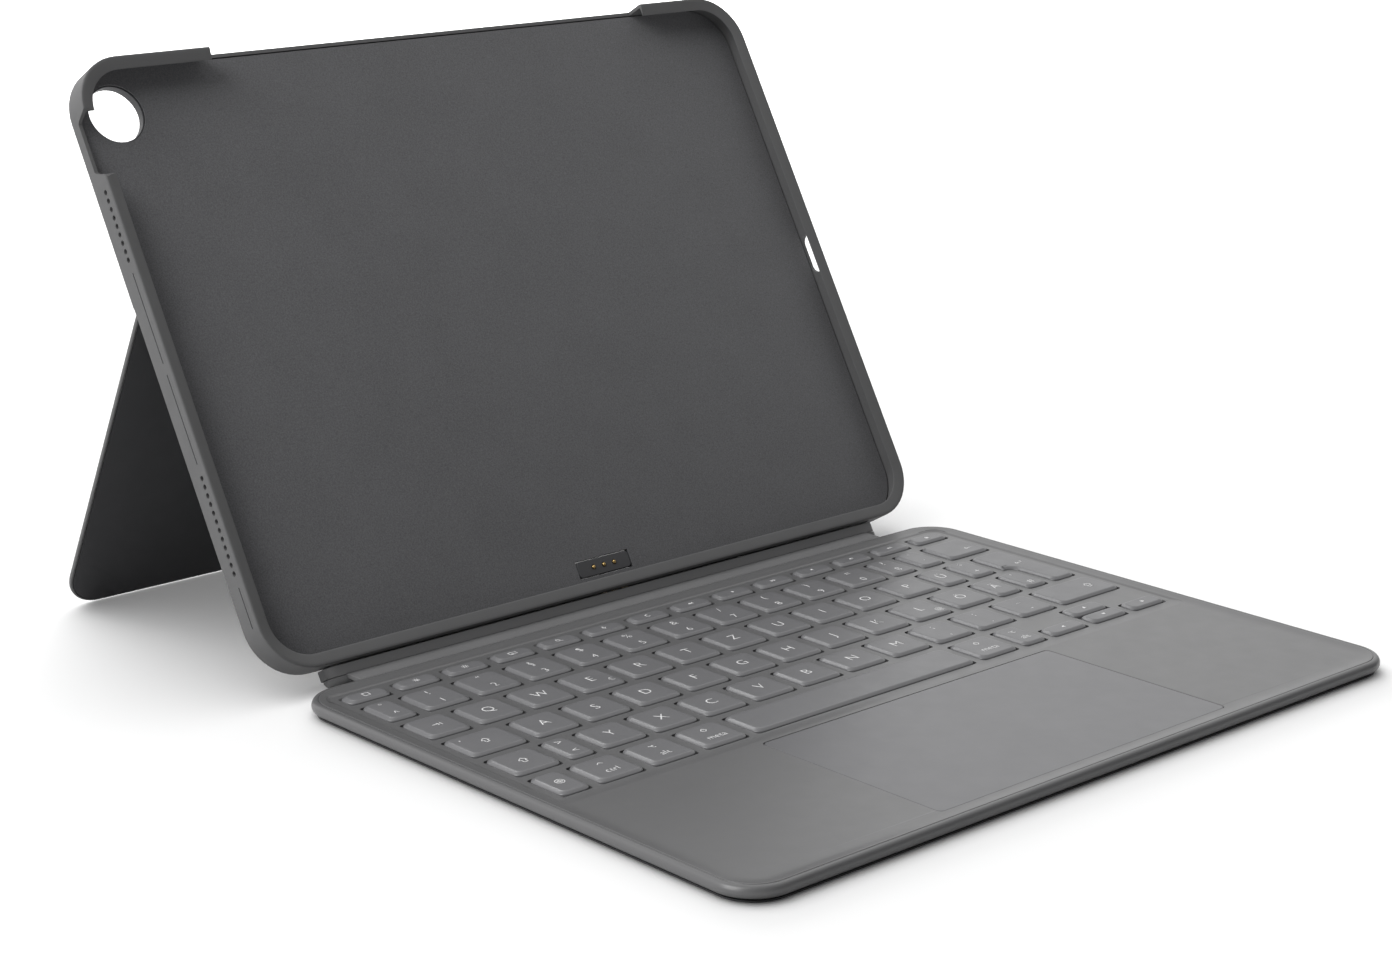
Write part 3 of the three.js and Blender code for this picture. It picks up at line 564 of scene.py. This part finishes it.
BUTTON_PROFILE = [(0.0, -0.9), (0.0, 0.1), (0.08, 0.3), (0.25, 0.42), (0.5, 0.47), (0.8, 0.44)]
for name, x in VOLUME_BUTTONS:
    button = bmesh.new()
    loops = profile_loops(rectangle(*around(x, 10.4), *around(BUTTON_Z, 2.2)), [1.0] * 4, BUTTON_PROFILE, 5)
    skin(button, [[(px, TRAY_HEIGHT - 0.22 + pz, py) for px, py, pz in loop] for loop in loops])
    piece(f"{name}_button_shape", button, TRAY, name, SOFT_TOUCH, [f"{name}_button"])

# ---- Kickstand ----

STAND_CORNERS = rectangle(*centred(BACK_WIDTH), -STAND_LENGTH, -0.1)
STAND_RADII = [12, 12, 0.25, 0.25]
RIM = 0.75


def stand_notches(depth):
    """Notches for the two hinges in the kickstand's upper edge."""
    bm = bmesh.new()
    for side in (-1, 1):
        add_box(bm, around(side * HINGE_X, HINGE_SLOT), (depth, 2), (-2, 2))
    return bm


outer_profile = (
    [(RIM, -0.4), (RIM, 0.5)]
    + [(RIM - 0.15 + x, 0.55 + y) for x, y in arc((0, 0), 0.15, 0, 90, 3)]
    + [(0.4 - x, 0.35 + y) for x, y in arc((0, 0), 0.35, 90, 0, 4)]
    + [(0.6 - x, -0.15 - y) for x, y in arc((0, 0), 0.6, 0, 90, 5)]
)
outer = bmesh.new()
skin(outer, profile_loops(STAND_CORNERS, STAND_RADII, outer_profile, 12))
piece("kickstand_outer_skin_shape", outer, STAND, "kickstand", SOFT_TOUCH,
      ["kickstand_outer_skin"], cutters=stand_notches(-1.6))

inner_corners = rectangle(*centred(BACK_WIDTH - 1.8), -STAND_LENGTH + 0.9, -1.6)
inner = bmesh.new()
skin(inner, profile_loops(inner_corners, [11.1, 11.1, 0.3, 0.3], slab_profile(0.4, 0.72, 0.1, 2), 12))
piece("kickstand_inner_skin_shape", inner, STAND, "kickstand", CHARCOAL,
      ["kickstand_inner_skin"], cutters=stand_notches(-1.8))

# ---- Dock bar ----

DOCK_CLEARANCE = 0.03
sin_tilt, cos_tilt = math.sin(TRAY_TILT), math.cos(TRAY_TILT)


def table_at(z):
    """Where the table is below a point of the tray, along the tray's own y."""
    return (-TRAY_FOOT_HEIGHT + DOCK_CLEARANCE - z * sin_tilt) / cos_tilt


DOCK_HALF = 107.0
DOCK_FRONT = -2.5
DOCK_TOP = -0.35
UPPER_BACK = -8.55
LOWER_BACK = -7.1
CORE_FRONT = -3.2
CORE_TOP = -1.2
PARTING = -3.55
SEAM = 0.07

# The bar is an upper and a lower shell with a fine seam between them, closed behind by a core.
dock_bar = bmesh.new()
upper_section = [(PARTING + SEAM, UPPER_BACK), (PARTING + SEAM, DOCK_FRONT), (DOCK_TOP, DOCK_FRONT),
                 (DOCK_TOP, UPPER_BACK)]
lower_section = [(table_at(LOWER_BACK), LOWER_BACK), (table_at(DOCK_FRONT), DOCK_FRONT),
                 (PARTING - SEAM, DOCK_FRONT), (PARTING - SEAM, LOWER_BACK)]
core_section = [(table_at(-6.6) + 0.4, -6.6), (table_at(CORE_FRONT) + 0.6, CORE_FRONT),
                (CORE_TOP, CORE_FRONT), (CORE_TOP, -7.6), (PARTING + 0.4, -7.6)]
extrude_x(dock_bar, upper_section[::-1], [0.4, 0.35, 0.1, 0.1], DOCK_HALF, 3.4, (0.06, 0.6))
extrude_x(dock_bar, lower_section[::-1], [0.1, 0.1, 1.2, 0.2], DOCK_HALF, 3.4, (0.12, 0.6))
extrude_x(dock_bar, core_section[::-1], [0.05] * 5, DOCK_HALF - 0.9, 3.0, (0.1, 0.6), 1)
slot_cut = bmesh.new()
add_box(slot_cut, centred(2 * DOCK_HALF - 5), (-2.15, 1), (-7.8, -3.2))
piece("dock_bar_cover_shape", dock_bar, TRAY, "dock", SOFT_TOUCH_PAINTED_LIGHT, ["dock_bar_cover"],
      cutters=slot_cut)

# ---- Flap ----

FLAP_HALF = 101.5
FLAP_REAR = 6.85
FLAP_FRONT = 1.0
FOLD_HALF = 101.2
FOLD_THICKNESS = 0.5
FOLD_COLUMNS = 12

flap = bmesh.new()
flap_section = rectangle(FLAP_FRONT - 0.55, FLAP_REAR + 0.6, 2.05, 3.42)
extrude_x(flap, flap_section, [0.4] * 4, FLAP_HALF, 0.3, (0.05, 0.3))
piece("hinge_flap_shape", flap, DECK, "flap", SOFT_TOUCH_PAINTED_LIGHT, ["hinge_flap"])


def fold_strip(name, points):
    """Thin soft strip over a crease: points are its upper line from one body to the other."""

    loop = points + [(y, z - FOLD_THICKNESS) for y, z in reversed(points)]
    bm = bmesh.new()
    xs = [-FOLD_HALF + 2 * FOLD_HALF * k / FOLD_COLUMNS for k in range(FOLD_COLUMNS + 1)]
    skin(bm, [[(x, y, z) for y, z in loop] for x in xs])
    obj = piece(name, bm, DECK, None, SOFT_TOUCH_PAINTED_LIGHT, sharp=50)
    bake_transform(obj)


fold_strip("fold_at_dock",
           [(8.35, 2.9), (8.0, 3.08), (7.7, 3.16), (7.3, 3.22), (6.9, 3.26), (6.5, 3.28), (6.1, 3.28)])
fold_strip("fold_at_deck",
           [(1.7, 3.0), (1.3, 3.0), (1.0, 2.98), (0.7, 2.95), (0.4, 2.92), (0.0, 2.9), (-0.35, 2.9)])

# ---- Deck ----

DECK_WIDTH = 248.8
DECK_DEPTH = 178.5
DECK_CORNERS = rectangle(*centred(DECK_WIDTH), -DECK_DEPTH, 0)
DECK_RADIUS = 12
PALM = 3.86
WELL = 3.62
FIELD = (-115.75, 115.75)
KEY_WEB = 3.65
KEY_PITCH = 17.76
ROW_PITCH = 17.55
KEY_DEPTH = ROW_PITCH - KEY_WEB
FUNCTION_REAR = -8.4
FUNCTION_DEPTH = 6.1
NUMBER_REAR = -18.2
ARROW_DEPTH = 7.35
WIDER = 0.5
DEEPER = 1.0
PAD = (-55.3, 55.3, -172.2, -109.2)
WELL_FIELD = (-118.6, 118.6, -104.0, -6.2)
WELL_RADIUS = 3


def row_openings(rear, depth, pitches):
    """Openings of one row, as (x0, x1, y0, y1). A pitch of None takes what is left of the field."""
    left = FIELD[0]
    result = []
    for pitch in pitches:
        right = FIELD[1] if pitch is None else left + pitch - KEY_WEB
        result.append((left - WIDER, right + WIDER, rear - depth - DEEPER, rear - 0.1))
        left = right + KEY_WEB
    return result


def row_rear(row):
    return NUMBER_REAR - row * ROW_PITCH


TEN = [KEY_PITCH] * 10
function_pitch = (FIELD[1] - FIELD[0] + KEY_WEB) / 14
function_row = row_openings(FUNCTION_REAR, FUNCTION_DEPTH, [function_pitch] * 14)
number_row = row_openings(row_rear(0), KEY_DEPTH, [12.4, *TEN, 12.6, 12.4, None])
top_row = row_openings(row_rear(1), KEY_DEPTH, [16.6, *TEN, 12.5, 12.3, None])
home_row = row_openings(row_rear(2), KEY_DEPTH, [21.2, *TEN, 12.5, 11.4, None])
shift_row = row_openings(row_rear(3), KEY_DEPTH, [17.7, 11.3, *TEN, None])
bottom_row = row_openings(row_rear(4), KEY_DEPTH, [12.5, *[KEY_PITCH] * 3, 86.6, KEY_PITCH, 12.3,
                                                   *[KEY_PITCH] * 2, None])


def front_half(key):
    return (key[0], key[1], key[2], key[2] + ARROW_DEPTH)


def rear_half(key):
    return (key[0], key[1], key[3] - ARROW_DEPTH, key[3])


arrow_left, arrow_middle, arrow_right = bottom_row[7:]
upper_enter, lower_enter = top_row[13], home_row[13]
ENTER = [
    (lower_enter[0], lower_enter[2]), (upper_enter[1], lower_enter[2]), (upper_enter[1], upper_enter[3]),
    (upper_enter[0], upper_enter[3]), (upper_enter[0], upper_enter[2]), (lower_enter[0], upper_enter[2]),
]
GAP = 0.14
OPENING_RADIUS = 1.0


def deck_cutters():
    """Hollow under the deck's top, and the openings for the keys and the trackpad."""
    bm = bmesh.new()
    skin(bm, profile_loops(DECK_CORNERS, [DECK_RADIUS] * 4, [(2.6, -1), (2.6, 3.0)], 8))
    openings = [*function_row, *number_row, *top_row[:13], *home_row[:13], *shift_row, *bottom_row[:7],
                front_half(arrow_left), arrow_middle, front_half(arrow_right)]
    for corners in [*[rectangle(*opening) for opening in openings], ENTER]:
        skin(bm, profile_loops(corners, [OPENING_RADIUS] * len(corners), [(0, 1), (0, 6)], 3))
    pad_loops = []
    for chamfer, z in ((0, 1), (0, 3.6), (0.7, 3.88), (0.7, 6)):
        edge = outline(rectangle(PAD[0], PAD[1] + chamfer, PAD[2], PAD[3] + chamfer / 4), [1.6] * 4)
        pad_loops.append([(point.x, point.y, z) for point in edge])
    skin(bm, pad_loops)
    return bm


def well_cutter():
    """Shallow pan round the keys, with a short slope at its rear and sides and a long one in front."""
    bm = bmesh.new()
    slope = [(-0.45, 0.0, 0.0), (-0.3, 0.4, 0.01), (-0.1, 1.2, 0.06), (0.1, 2.2, 0.13), (0.3, 3.2, 0.2),
             (0.45, 4.0, 0.24), (0.65, 4.7, 0.255), (2.0, 5.0, 2.4)]
    left, right, front, rear = WELL_FIELD
    loops = []
    for out, forward, rise in slope:
        corners = rectangle(left - out, right + out, front - forward, rear + out)
        edge = outline(corners, [WELL_RADIUS + out] * 4)
        loops.append([(point.x, point.y, WELL + rise) for point in edge])
    skin(bm, loops)
    return bm


deck_profile = (
    [(3.4, 0.85), (1.6, 0.85), (1.15, 0.92), (0.75, 1.08), (0.42, 1.35), (0.2, 1.65), (0.06, 2.0), (0.0, 2.4)]
    + [(0.02, 2.8), (0.1, 3.2), (0.26, 3.58), (0.5, 3.9), (0.82, 4.12), (1.2, 4.23), (1.55, 4.25)]
    + [(1.8, 4.25), (1.85, 4.1), (2.0, 4.1), (2.05, 4.25)]
    + [(2.3, 4.24), (2.8, 4.19), (3.4, 4.11), (4.1, 4.01), (4.9, 3.93), (5.8, 3.88), (6.8, PALM), (8.5, PALM)]
)
deck = bmesh.new()
skin(deck, profile_loops(DECK_CORNERS, [DECK_RADIUS] * 4, deck_profile, 12, 1.5))
deck_obj = piece("deck_top_shape", deck, DECK, "deck", DECK_SKIN, ["deck_top"],
                 cutters=well_cutter())
cut(deck_obj, deck_cutters(), DECK, SHARP_ANGLE)

base = bmesh.new()
base_profile = [(inset + 1.3, z) for inset, z in slab_profile(0.0, 0.46, 0.14, 2)]
skin(base, profile_loops(DECK_CORNERS, [DECK_RADIUS] * 4, base_profile, 10))
piece("bottom_skin_shape", base, DECK, "deck", CHARCOAL, ["bottom_skin"])

pad = bmesh.new()
pad_corners = rectangle(PAD[0] + 0.1, PAD[1] - 0.04, PAD[2] + 0.06, PAD[3] - 0.14)
skin(pad, profile_loops(pad_corners, [1.7] * 4,
                        [(0, 3.45), (0, 3.8), (0.03, 3.85), (0.1, 3.88), (0.2, 3.885), (2, 3.885)], 8))
piece("trackpad_shape", pad, DECK, "trackpad", PAD_SURFACE, ["trackpad_glass"])

# ---- Keys ----

CAP_PROFILE = [(0.0, 2.75), (0.0, 3.55), (0.05, 3.72), (0.17, 3.86), (0.37, 3.98), (0.65, 4.14), (0.9, 4.27),
               (1.08, 4.35), (1.3, 4.4), (1.55, 4.41), (1.85, 4.41)]
CAP_TOP = 4.41
CAP_RADIUS = 2.7
CAP_TOP_RADIUS = 1.35


def add_cap(bm, corners, radii):
    skin(bm, profile_loops(corners, radii, CAP_PROFILE, 5, CAP_TOP_RADIUS))


def add_key(bm, key):
    x0, x1, y0, y1 = key
    add_cap(bm, rectangle(x0 + GAP, x1 - GAP, y0 + GAP, y1 - GAP), [CAP_RADIUS] * 4)


def add_enter(bm):
    """Cap of the tall key with a step in its outline."""
    grown = [(p.x, p.y) for p in outline(ENTER, [0.0] * 6, GAP, 1, 0.0)[::2]]
    add_cap(bm, grown, [CAP_RADIUS] * 4 + [0.9, CAP_RADIUS])


# ---- Legends ----

# Flat letters and small generic signs. A legend is a list of (kind, value, dx, dy, size).

STROKE = 0.26
THINNING = -0.01
ARROWS = {"right": 0, "up": 90, "left": 180, "down": 270}


def glyph_mesh(text, size):
    """Triangles of one line of text, centred."""
    curve = bpy.data.curves.new("glyph", "FONT")
    curve.body = text
    curve.size = size
    curve.align_x = "CENTER"
    curve.align_y = "CENTER"
    curve.resolution_u = 3
    curve.offset = THINNING * size
    holder = bpy.data.objects.new("glyph", curve)
    bpy.context.scene.collection.objects.link(holder)
    bpy.context.view_layer.update()
    mesh = bpy.data.meshes.new_from_object(holder.evaluated_get(bpy.context.evaluated_depsgraph_get()))
    bpy.data.objects.remove(holder)
    bpy.data.curves.remove(curve)
    return mesh


def add_text(bm, text, x, y, size):
    mesh = glyph_mesh(text, size)
    mesh.transform(Matrix.Translation((x, y, 0)))
    bm.from_mesh(mesh)
    bpy.data.meshes.remove(mesh)


def add_polygon(bm, points):
    bm.faces.new([bm.verts.new((x, y, 0)) for x, y in points])


def add_stroke(bm, start, end, width=STROKE):
    a, b = Vector(start), Vector(end)
    side = (b - a).normalized() * width / 2
    side = Vector((-side.y, side.x))
    add_polygon(bm, [tuple(p) for p in (a - side, b - side, b + side, a + side)])


def add_ring(bm, x, y, radius, width=STROKE, start=0, end=360, steps=20):
    for k in range(steps):
        angles = [math.radians(start + (end - start) * (k + d) / steps) for d in (0, 1)]
        near, far = [
            [(x + r * math.cos(a), y + r * math.sin(a)) for a in angles]
            for r in (radius - width / 2, radius + width / 2)
        ]
        add_polygon(bm, [near[0], far[0], far[1], near[1]])


def add_chain(bm, points, closed=False):
    pairs = list(zip(points, points[1:]))
    if closed:
        pairs.append((points[-1], points[0]))
    for start, end in pairs:
        add_stroke(bm, start, end)


def sign(bm, kind, x, y, s):
    """Small generic sign, drawn in units of s, which is about half its height."""

    def at(u, v):
        return (x + s * u, y + s * v)

    def fill(*spots):
        add_polygon(bm, [at(*spot) for spot in spots])

    def chain(*spots, closed=False):
        add_chain(bm, [at(*spot) for spot in spots], closed)

    def stroke(start, end, width=STROKE):
        add_stroke(bm, at(*start), at(*end), width)

    def circle(u, v, radius, *rest):
        add_ring(bm, *at(u, v), s * radius, *rest)

    def round_spot(degrees, reach=1.0):
        return (reach * math.cos(math.radians(degrees)), reach * math.sin(math.radians(degrees)))

    if kind == "dot":
        fill(*[round_spot(45 * k) for k in range(8)])
    elif kind == "frame":
        chain((-1, -1), (1, -1), (1, 1), (-1, 1), closed=True)
    elif kind == "sun":
        circle(0, 0, 0.5)
        for k in range(8):
            stroke(round_spot(45 * k, 0.8), round_spot(45 * k, 1.15), 0.2)
    elif kind == "lens":
        circle(-0.2, 0.2, 0.65)
        stroke((0.25, -0.25), (1, -1))
    elif kind == "keys":
        chain((-1.3, -0.8), (1.3, -0.8), (1.3, 0.8), (-1.3, 0.8), closed=True)
        stroke((-0.7, -0.3), (0.7, -0.3), 0.2)
    elif kind == "microphone":
        circle(0, 0.2, 0.6, STROKE, 180, 360)
        stroke((0, 0), (0, 1), 0.45)
        stroke((0, -0.4), (0, -1))
    elif kind == "moon":
        circle(0, 0, 0.8, 0.35, 60, 300)
    elif kind in ("play", "next", "previous"):
        way = -1 if kind == "previous" else 1
        for shift in ((-0.2,) if kind == "play" else (-0.9, 0.1)):
            spots = [(way * shift, -0.7), (way * (shift + 1), 0), (way * shift, 0.7)]
            fill(*spots[::way])
    elif kind in ("mute", "quiet", "loud"):
        fill((-1, -0.3), (-0.6, -0.3), (-0.1, -0.8), (-0.1, 0.8), (-0.6, 0.3), (-1, 0.3))
        for k in range({"mute": 0, "quiet": 1, "loud": 2}[kind]):
            circle(-0.1, 0, 0.5 + 0.4 * k, 0.2, -45, 45, 8)
    elif kind == "lock":
        fill((-0.7, -0.8), (0.7, -0.8), (0.7, 0.2), (-0.7, 0.2))
        circle(0, 0.2, 0.42, 0.24, 0, 180, 10)
    elif kind == "tab":
        stroke((-1, 0), (0.6, 0))
        chain((0.1, -0.5), (0.6, 0), (0.1, 0.5))
        stroke((1, -0.6), (1, 0.6))
    elif kind == "up_outline":
        chain((-1, 0), (0, 1), (1, 0), (0.45, 0), (0.45, -1), (-0.45, -1), (-0.45, 0), closed=True)
    elif kind == "return":
        chain((1, 0.6), (1, -0.2), (-1, -0.2))
        chain((-0.5, 0.3), (-1, -0.2), (-0.5, -0.7))
    elif kind == "erase":
        stroke((-1, 0), (1, 0))
        chain((-0.5, 0.5), (-1, 0), (-0.5, -0.5))
    elif kind == "globe":
        circle(0, 0, 1, 0.22)
        stroke((-1, 0), (1, 0), 0.18)
        stroke((0, -1), (0, 1), 0.18)
        for side in (0, 180):
            circle(0, 0, 0.5, 0.18, side - 90, side + 90, 8)
    elif kind == "diamond":
        chain((-1, 0), (0, -1), (1, 0), (0, 1), closed=True)
    elif kind == "step":
        chain((-1, 0.6), (-0.3, 0.6), (0.3, -0.6), (1, -0.6))
        stroke((0.1, 0.6), (1, 0.6))
    elif kind == "caret":
        chain((-1, -0.4), (0, 0.6), (1, -0.4))
    elif kind in ARROWS:
        fill(*[round_spot(ARROWS[kind] + turn) for turn in (0, 120, 240)])


LETTER = 4.9
DIGIT = 3.9
SMALL = 2.9
WORD = 3.3


def letter(text):
    return [("text", text, 0, 0, LETTER)]


def pair(over, under):
    return [("text", over, 0, 3.4, DIGIT), ("text", under, 0, -3.4, DIGIT)]


def third(text):
    return [("text", text, 4.4, -3.6, SMALL)]


def icon(kind, size=1.2, dx=0, dy=0):
    return [("sign", kind, dx, dy, size)]


def word(kind, text):
    return [("sign", kind, 0, 2.7, 0.95), ("text", text, 0, -2.4, WORD)]


FUNCTION_SIGNS = ["frame", "sun", "sun", "keys", "lens", "microphone", "moon", "previous", "play", "next",
                  "mute", "quiet", "loud", "lock"]
NUMBER_PAIRS = ["°^", "!1", '"2', "§3", "$4", "%5", "&6", "/7", "(8", ")9", "=0", "?ß", "`´"]

LEGENDS = {
    "function_row_keys": [icon(kind, 0.95) for kind in FUNCTION_SIGNS],
    "number_row_keys": [pair(*signs) for signs in NUMBER_PAIRS],
    "top_letter_keys": [letter("Q"), letter("W"), letter("E") + third("€")] + [letter(c) for c in "RTZUIOPÜ"]
    + [pair("*", "+")],
    "home_letter_keys": [letter(c) for c in "ASDFGHJK"] + [letter("L") + third("@"), letter("Ö"), letter("Ä")]
    + [pair("'", "#")],
    "lower_letter_keys": [pair(">", "<")] + [letter(c) for c in "YXCVBNM"]
    + [pair(";", ","), pair(":", "."), pair("_", "-")],
    "backspace_key": [icon("erase", 1.4, 3.5, -2.5)],
    "tab_key": [icon("tab", 1.4)],
    "enter_key": [icon("return", 1.4, 1.4, 3)],
    "caps_lock_key": [icon("up_outline", 1.3) + icon("dot", 0.3, -5.6, 3.6)],
    "left_shift_key": [icon("up_outline", 1.4)],
    "right_shift_key": [icon("up_outline", 1.4, 6)],
    "globe_key": [icon("globe", 1.3)],
    "left_control_key": [word("caret", "ctrl")],
    "left_option_key": [word("step", "alt")],
    "left_command_key": [word("diamond", "meta")],
    "space_bar": [[]],
    "right_command_key": [word("diamond", "meta")],
    "right_option_key": [word("step", "alt")],
    "arrow_left_key": [icon("left", 0.85)],
    "arrow_up_key": [icon("up", 0.85)],
    "arrow_down_key": [icon("down", 0.85)],
    "arrow_right_key": [icon("right", 0.85)],
}
KEY_OPENINGS = {
    "function_row_keys": function_row,
    "number_row_keys": number_row[:13],
    "top_letter_keys": top_row[1:13],
    "home_letter_keys": home_row[1:13],
    "lower_letter_keys": shift_row[1:12],
    "backspace_key": [number_row[13]],
    "tab_key": [top_row[0]],
    "enter_key": [(upper_enter[0], upper_enter[1], lower_enter[2], upper_enter[3])],
    "caps_lock_key": [home_row[0]],
    "left_shift_key": [shift_row[0]],
    "right_shift_key": [shift_row[12]],
    "globe_key": [bottom_row[0]],
    "left_control_key": [bottom_row[1]],
    "left_option_key": [bottom_row[2]],
    "left_command_key": [bottom_row[3]],
    "space_bar": [bottom_row[4]],
    "right_command_key": [bottom_row[5]],
    "right_option_key": [bottom_row[6]],
    "arrow_left_key": [front_half(arrow_left)],
    "arrow_up_key": [rear_half(arrow_middle)],
    "arrow_down_key": [front_half(arrow_middle)],
    "arrow_right_key": [front_half(arrow_right)],
}

# The ink stands this far above the cap, and is this thick.
LEGEND_RISE = 0.015
LEGEND_DEPTH = 0.03

for node, keys in KEY_OPENINGS.items():
    caps = bmesh.new()
    marks = bmesh.new()
    for key, legend in zip(keys, LEGENDS[node]):
        if node == "enter_key":
            add_enter(caps)
        else:
            add_key(caps, key)
        x, y = (key[0] + key[1]) / 2, (key[2] + key[3]) / 2
        for kind, value, dx, dy, size in legend:
            if kind == "text":
                add_text(marks, value, x + dx, y + dy, size)
            else:
                sign(marks, value, x + dx, y + dy, size)
    piece(f"{node}_caps", caps, DECK, f"{node}_body", KEY_PLASTIC, [node])
    if marks.verts:
        bmesh.ops.translate(marks, vec=(0, 0, CAP_TOP + LEGEND_RISE), verts=marks.verts)
        ink = piece(f"{node}_legends", marks, DECK, f"{node}_body", LEGEND)
        depth = ink.modifiers.new("depth", "SOLIDIFY")
        depth.thickness = LEGEND_DEPTH * MM
        depth.offset = -1

# ---- Nodes that keep their CAD shape ----

KEPT = {
    "back_shell": HARD_PLASTIC, "tray_magnet_strip": MAGNET,
    "hinge_base_left": STEEL, "hinge_base_right": STEEL, "hinge_leaf_left": STEEL, "hinge_leaf_right": STEEL,
    "hinge_pin_left": STEEL, "hinge_pin_right": STEEL, "kickstand_core": ALUMINIUM,
    "dock_top_plate": STEEL, "dock_magnets": MAGNET, "dock_contact_pins": GOLD,
    "base_plate": ALUMINIUM, "light_guide": FILM, "key_membrane": FILM, "dome_sheet": FILM,
    "controller_board": BOARD, "flex_cable": FILM, "closure_magnet_left": MAGNET,
    "closure_magnet_right": MAGNET, "click_switch": STEEL, "trackpad_board": BOARD,
}
for name, material in KEPT.items():
    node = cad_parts[name]
    node.data.materials.clear()
    node.data.materials.append(material)

# ---- Floor, light and camera ----

FLOOR_SIZE = 12.0
floor_mesh = bmesh.new()
add_box(floor_mesh, centred(FLOOR_SIZE), centred(FLOOR_SIZE), (-0.02, -0.0001))
floor_material, _, floor_shader = principled("floor_white", 0.85)
floor_shader.inputs["Base Color"].default_value = (0.95, 0.95, 0.95, 1)
floor_shader.inputs["Specular IOR Level"].default_value = 0.1
floor = bpy.data.objects.new("floor", finish_mesh(floor_mesh, Matrix.Identity(4)))
floor.data.materials.append(floor_material)
bpy.context.scene.collection.objects.link(floor)


def area_light(name, location, target, size, power, receivers, blockers=None):
    """Area light on the receivers only. If blockers are given, only they cast its shadows."""
    light = bpy.data.lights.new(name, "AREA")
    light.shape = "RECTANGLE"
    light.size, light.size_y = size
    light.energy = power
    holder = bpy.data.objects.new(name, light)
    holder.location = location
    holder.rotation_euler = (Vector(target) - Vector(location)).to_track_quat("-Z", "Y").to_euler()
    holder.light_linking.receiver_collection = receivers
    holder.light_linking.blocker_collection = blockers
    bpy.context.scene.collection.objects.link(holder)


def collection_of(name, objects):
    group = bpy.data.collections.new(name)
    for obj in objects:
        group.objects.link(obj)
    return group


pieces = [obj for obj in bpy.data.objects if obj.type == "MESH" and obj is not floor]


def named(*starts):
    return [obj for obj in pieces if obj.name.startswith(starts)]


caps_only = collection_of("caps_only", [obj for obj in pieces if obj.name.endswith("_caps")])
deck_only = collection_of("deck_only", named("deck_top_shape", "trackpad_shape"))
fold_only = collection_of("fold_only", named("dock_bar", "hinge_flap", "fold_"))
floor_only = collection_of("floor_only", [floor])
large_pieces = collection_of("large_pieces", named("deck_top_shape", "kickstand_", "bumper", "microfibre"))
area_light("left_light", (-1.5, 0.1, 1.45), (0, 0, 0.05), (1.2, 1.2), 31, collection_of("lit_pieces", pieces))
area_light("cap_light", (-1.45, -0.1, 0.42), (0, -0.1, 0), (0.8, 0.4), 9, caps_only)
area_light("bevel_light", (0.18, 1.0, 1.05), (0.05, -0.1, 0), (0.5, 0.5), 5, caps_only, caps_only)
area_light("deck_light", (-1.45, -0.1, 0.42), (0, -0.1, 0), (0.8, 0.4), 7, deck_only)
area_light("low_light", (-0.5, -1.3, 0.22), (0, 0, 0.02), (1.2, 0.5), 9, fold_only)
area_light("floor_light", (0.3, 1.6, 1.6), (0, 0, 0), (3.0, 3.0), 27, floor_only, large_pieces)
area_light("floor_skim", (0.9, 1.6, 0.42), (0, 0, 0), (1.6, 0.6), 24, floor_only, deck_only)

# The sky is brightest on one side, as from a large window.
BRIGHT_SIDE = Vector((0.1, 0.8, 0.6)).normalized()
world = bpy.data.worlds.new("studio")
world.use_nodes = True
sky = world.node_tree
direction = sky.nodes.new("ShaderNodeTexCoord")
toward = sky.nodes.new("ShaderNodeVectorMath")
toward.operation = "DOT_PRODUCT"
toward.inputs[1].default_value = BRIGHT_SIDE
sky.links.new(direction.outputs["Generated"], toward.inputs[0])
glow = spread(sky, toward.outputs["Value"], 0.12, 1.36, -0.1, 0.8)
sky.links.new(glow, sky.nodes["Background"].inputs["Strength"])
sky.nodes["Background"].inputs["Color"].default_value = (1, 1, 1, 1)
bpy.context.scene.world = world
bpy.context.scene.view_settings.view_transform = "Standard"

# The camera that was solved from the photograph: its place in the deck's frame, and its angles.
EYE_FROM_DECK_REAR = (-542.4, -619.7, 270.5)
YAW, PITCH, ROLL = math.radians(42.295), math.radians(15.637), math.radians(0.069)
SENSOR_WIDTH = 36
FOCAL_LENGTH = 75.67
camera_data = bpy.data.cameras.new("camera")
camera_data.sensor_width = SENSOR_WIDTH
camera_data.lens = FOCAL_LENGTH
camera_data.clip_start = 0.01
camera = bpy.data.objects.new("camera", camera_data)
camera.location = DECK @ Vector(EYE_FROM_DECK_REAR)
turn_in_view = Matrix.Rotation(ROLL, 4, "Z")
camera.rotation_euler = (Euler((math.pi / 2 - PITCH, 0, -YAW)).to_matrix().to_4x4() @ turn_in_view).to_euler()
bpy.context.scene.collection.objects.link(camera)
bpy.context.scene.camera = camera

bpy.context.view_layer.update()
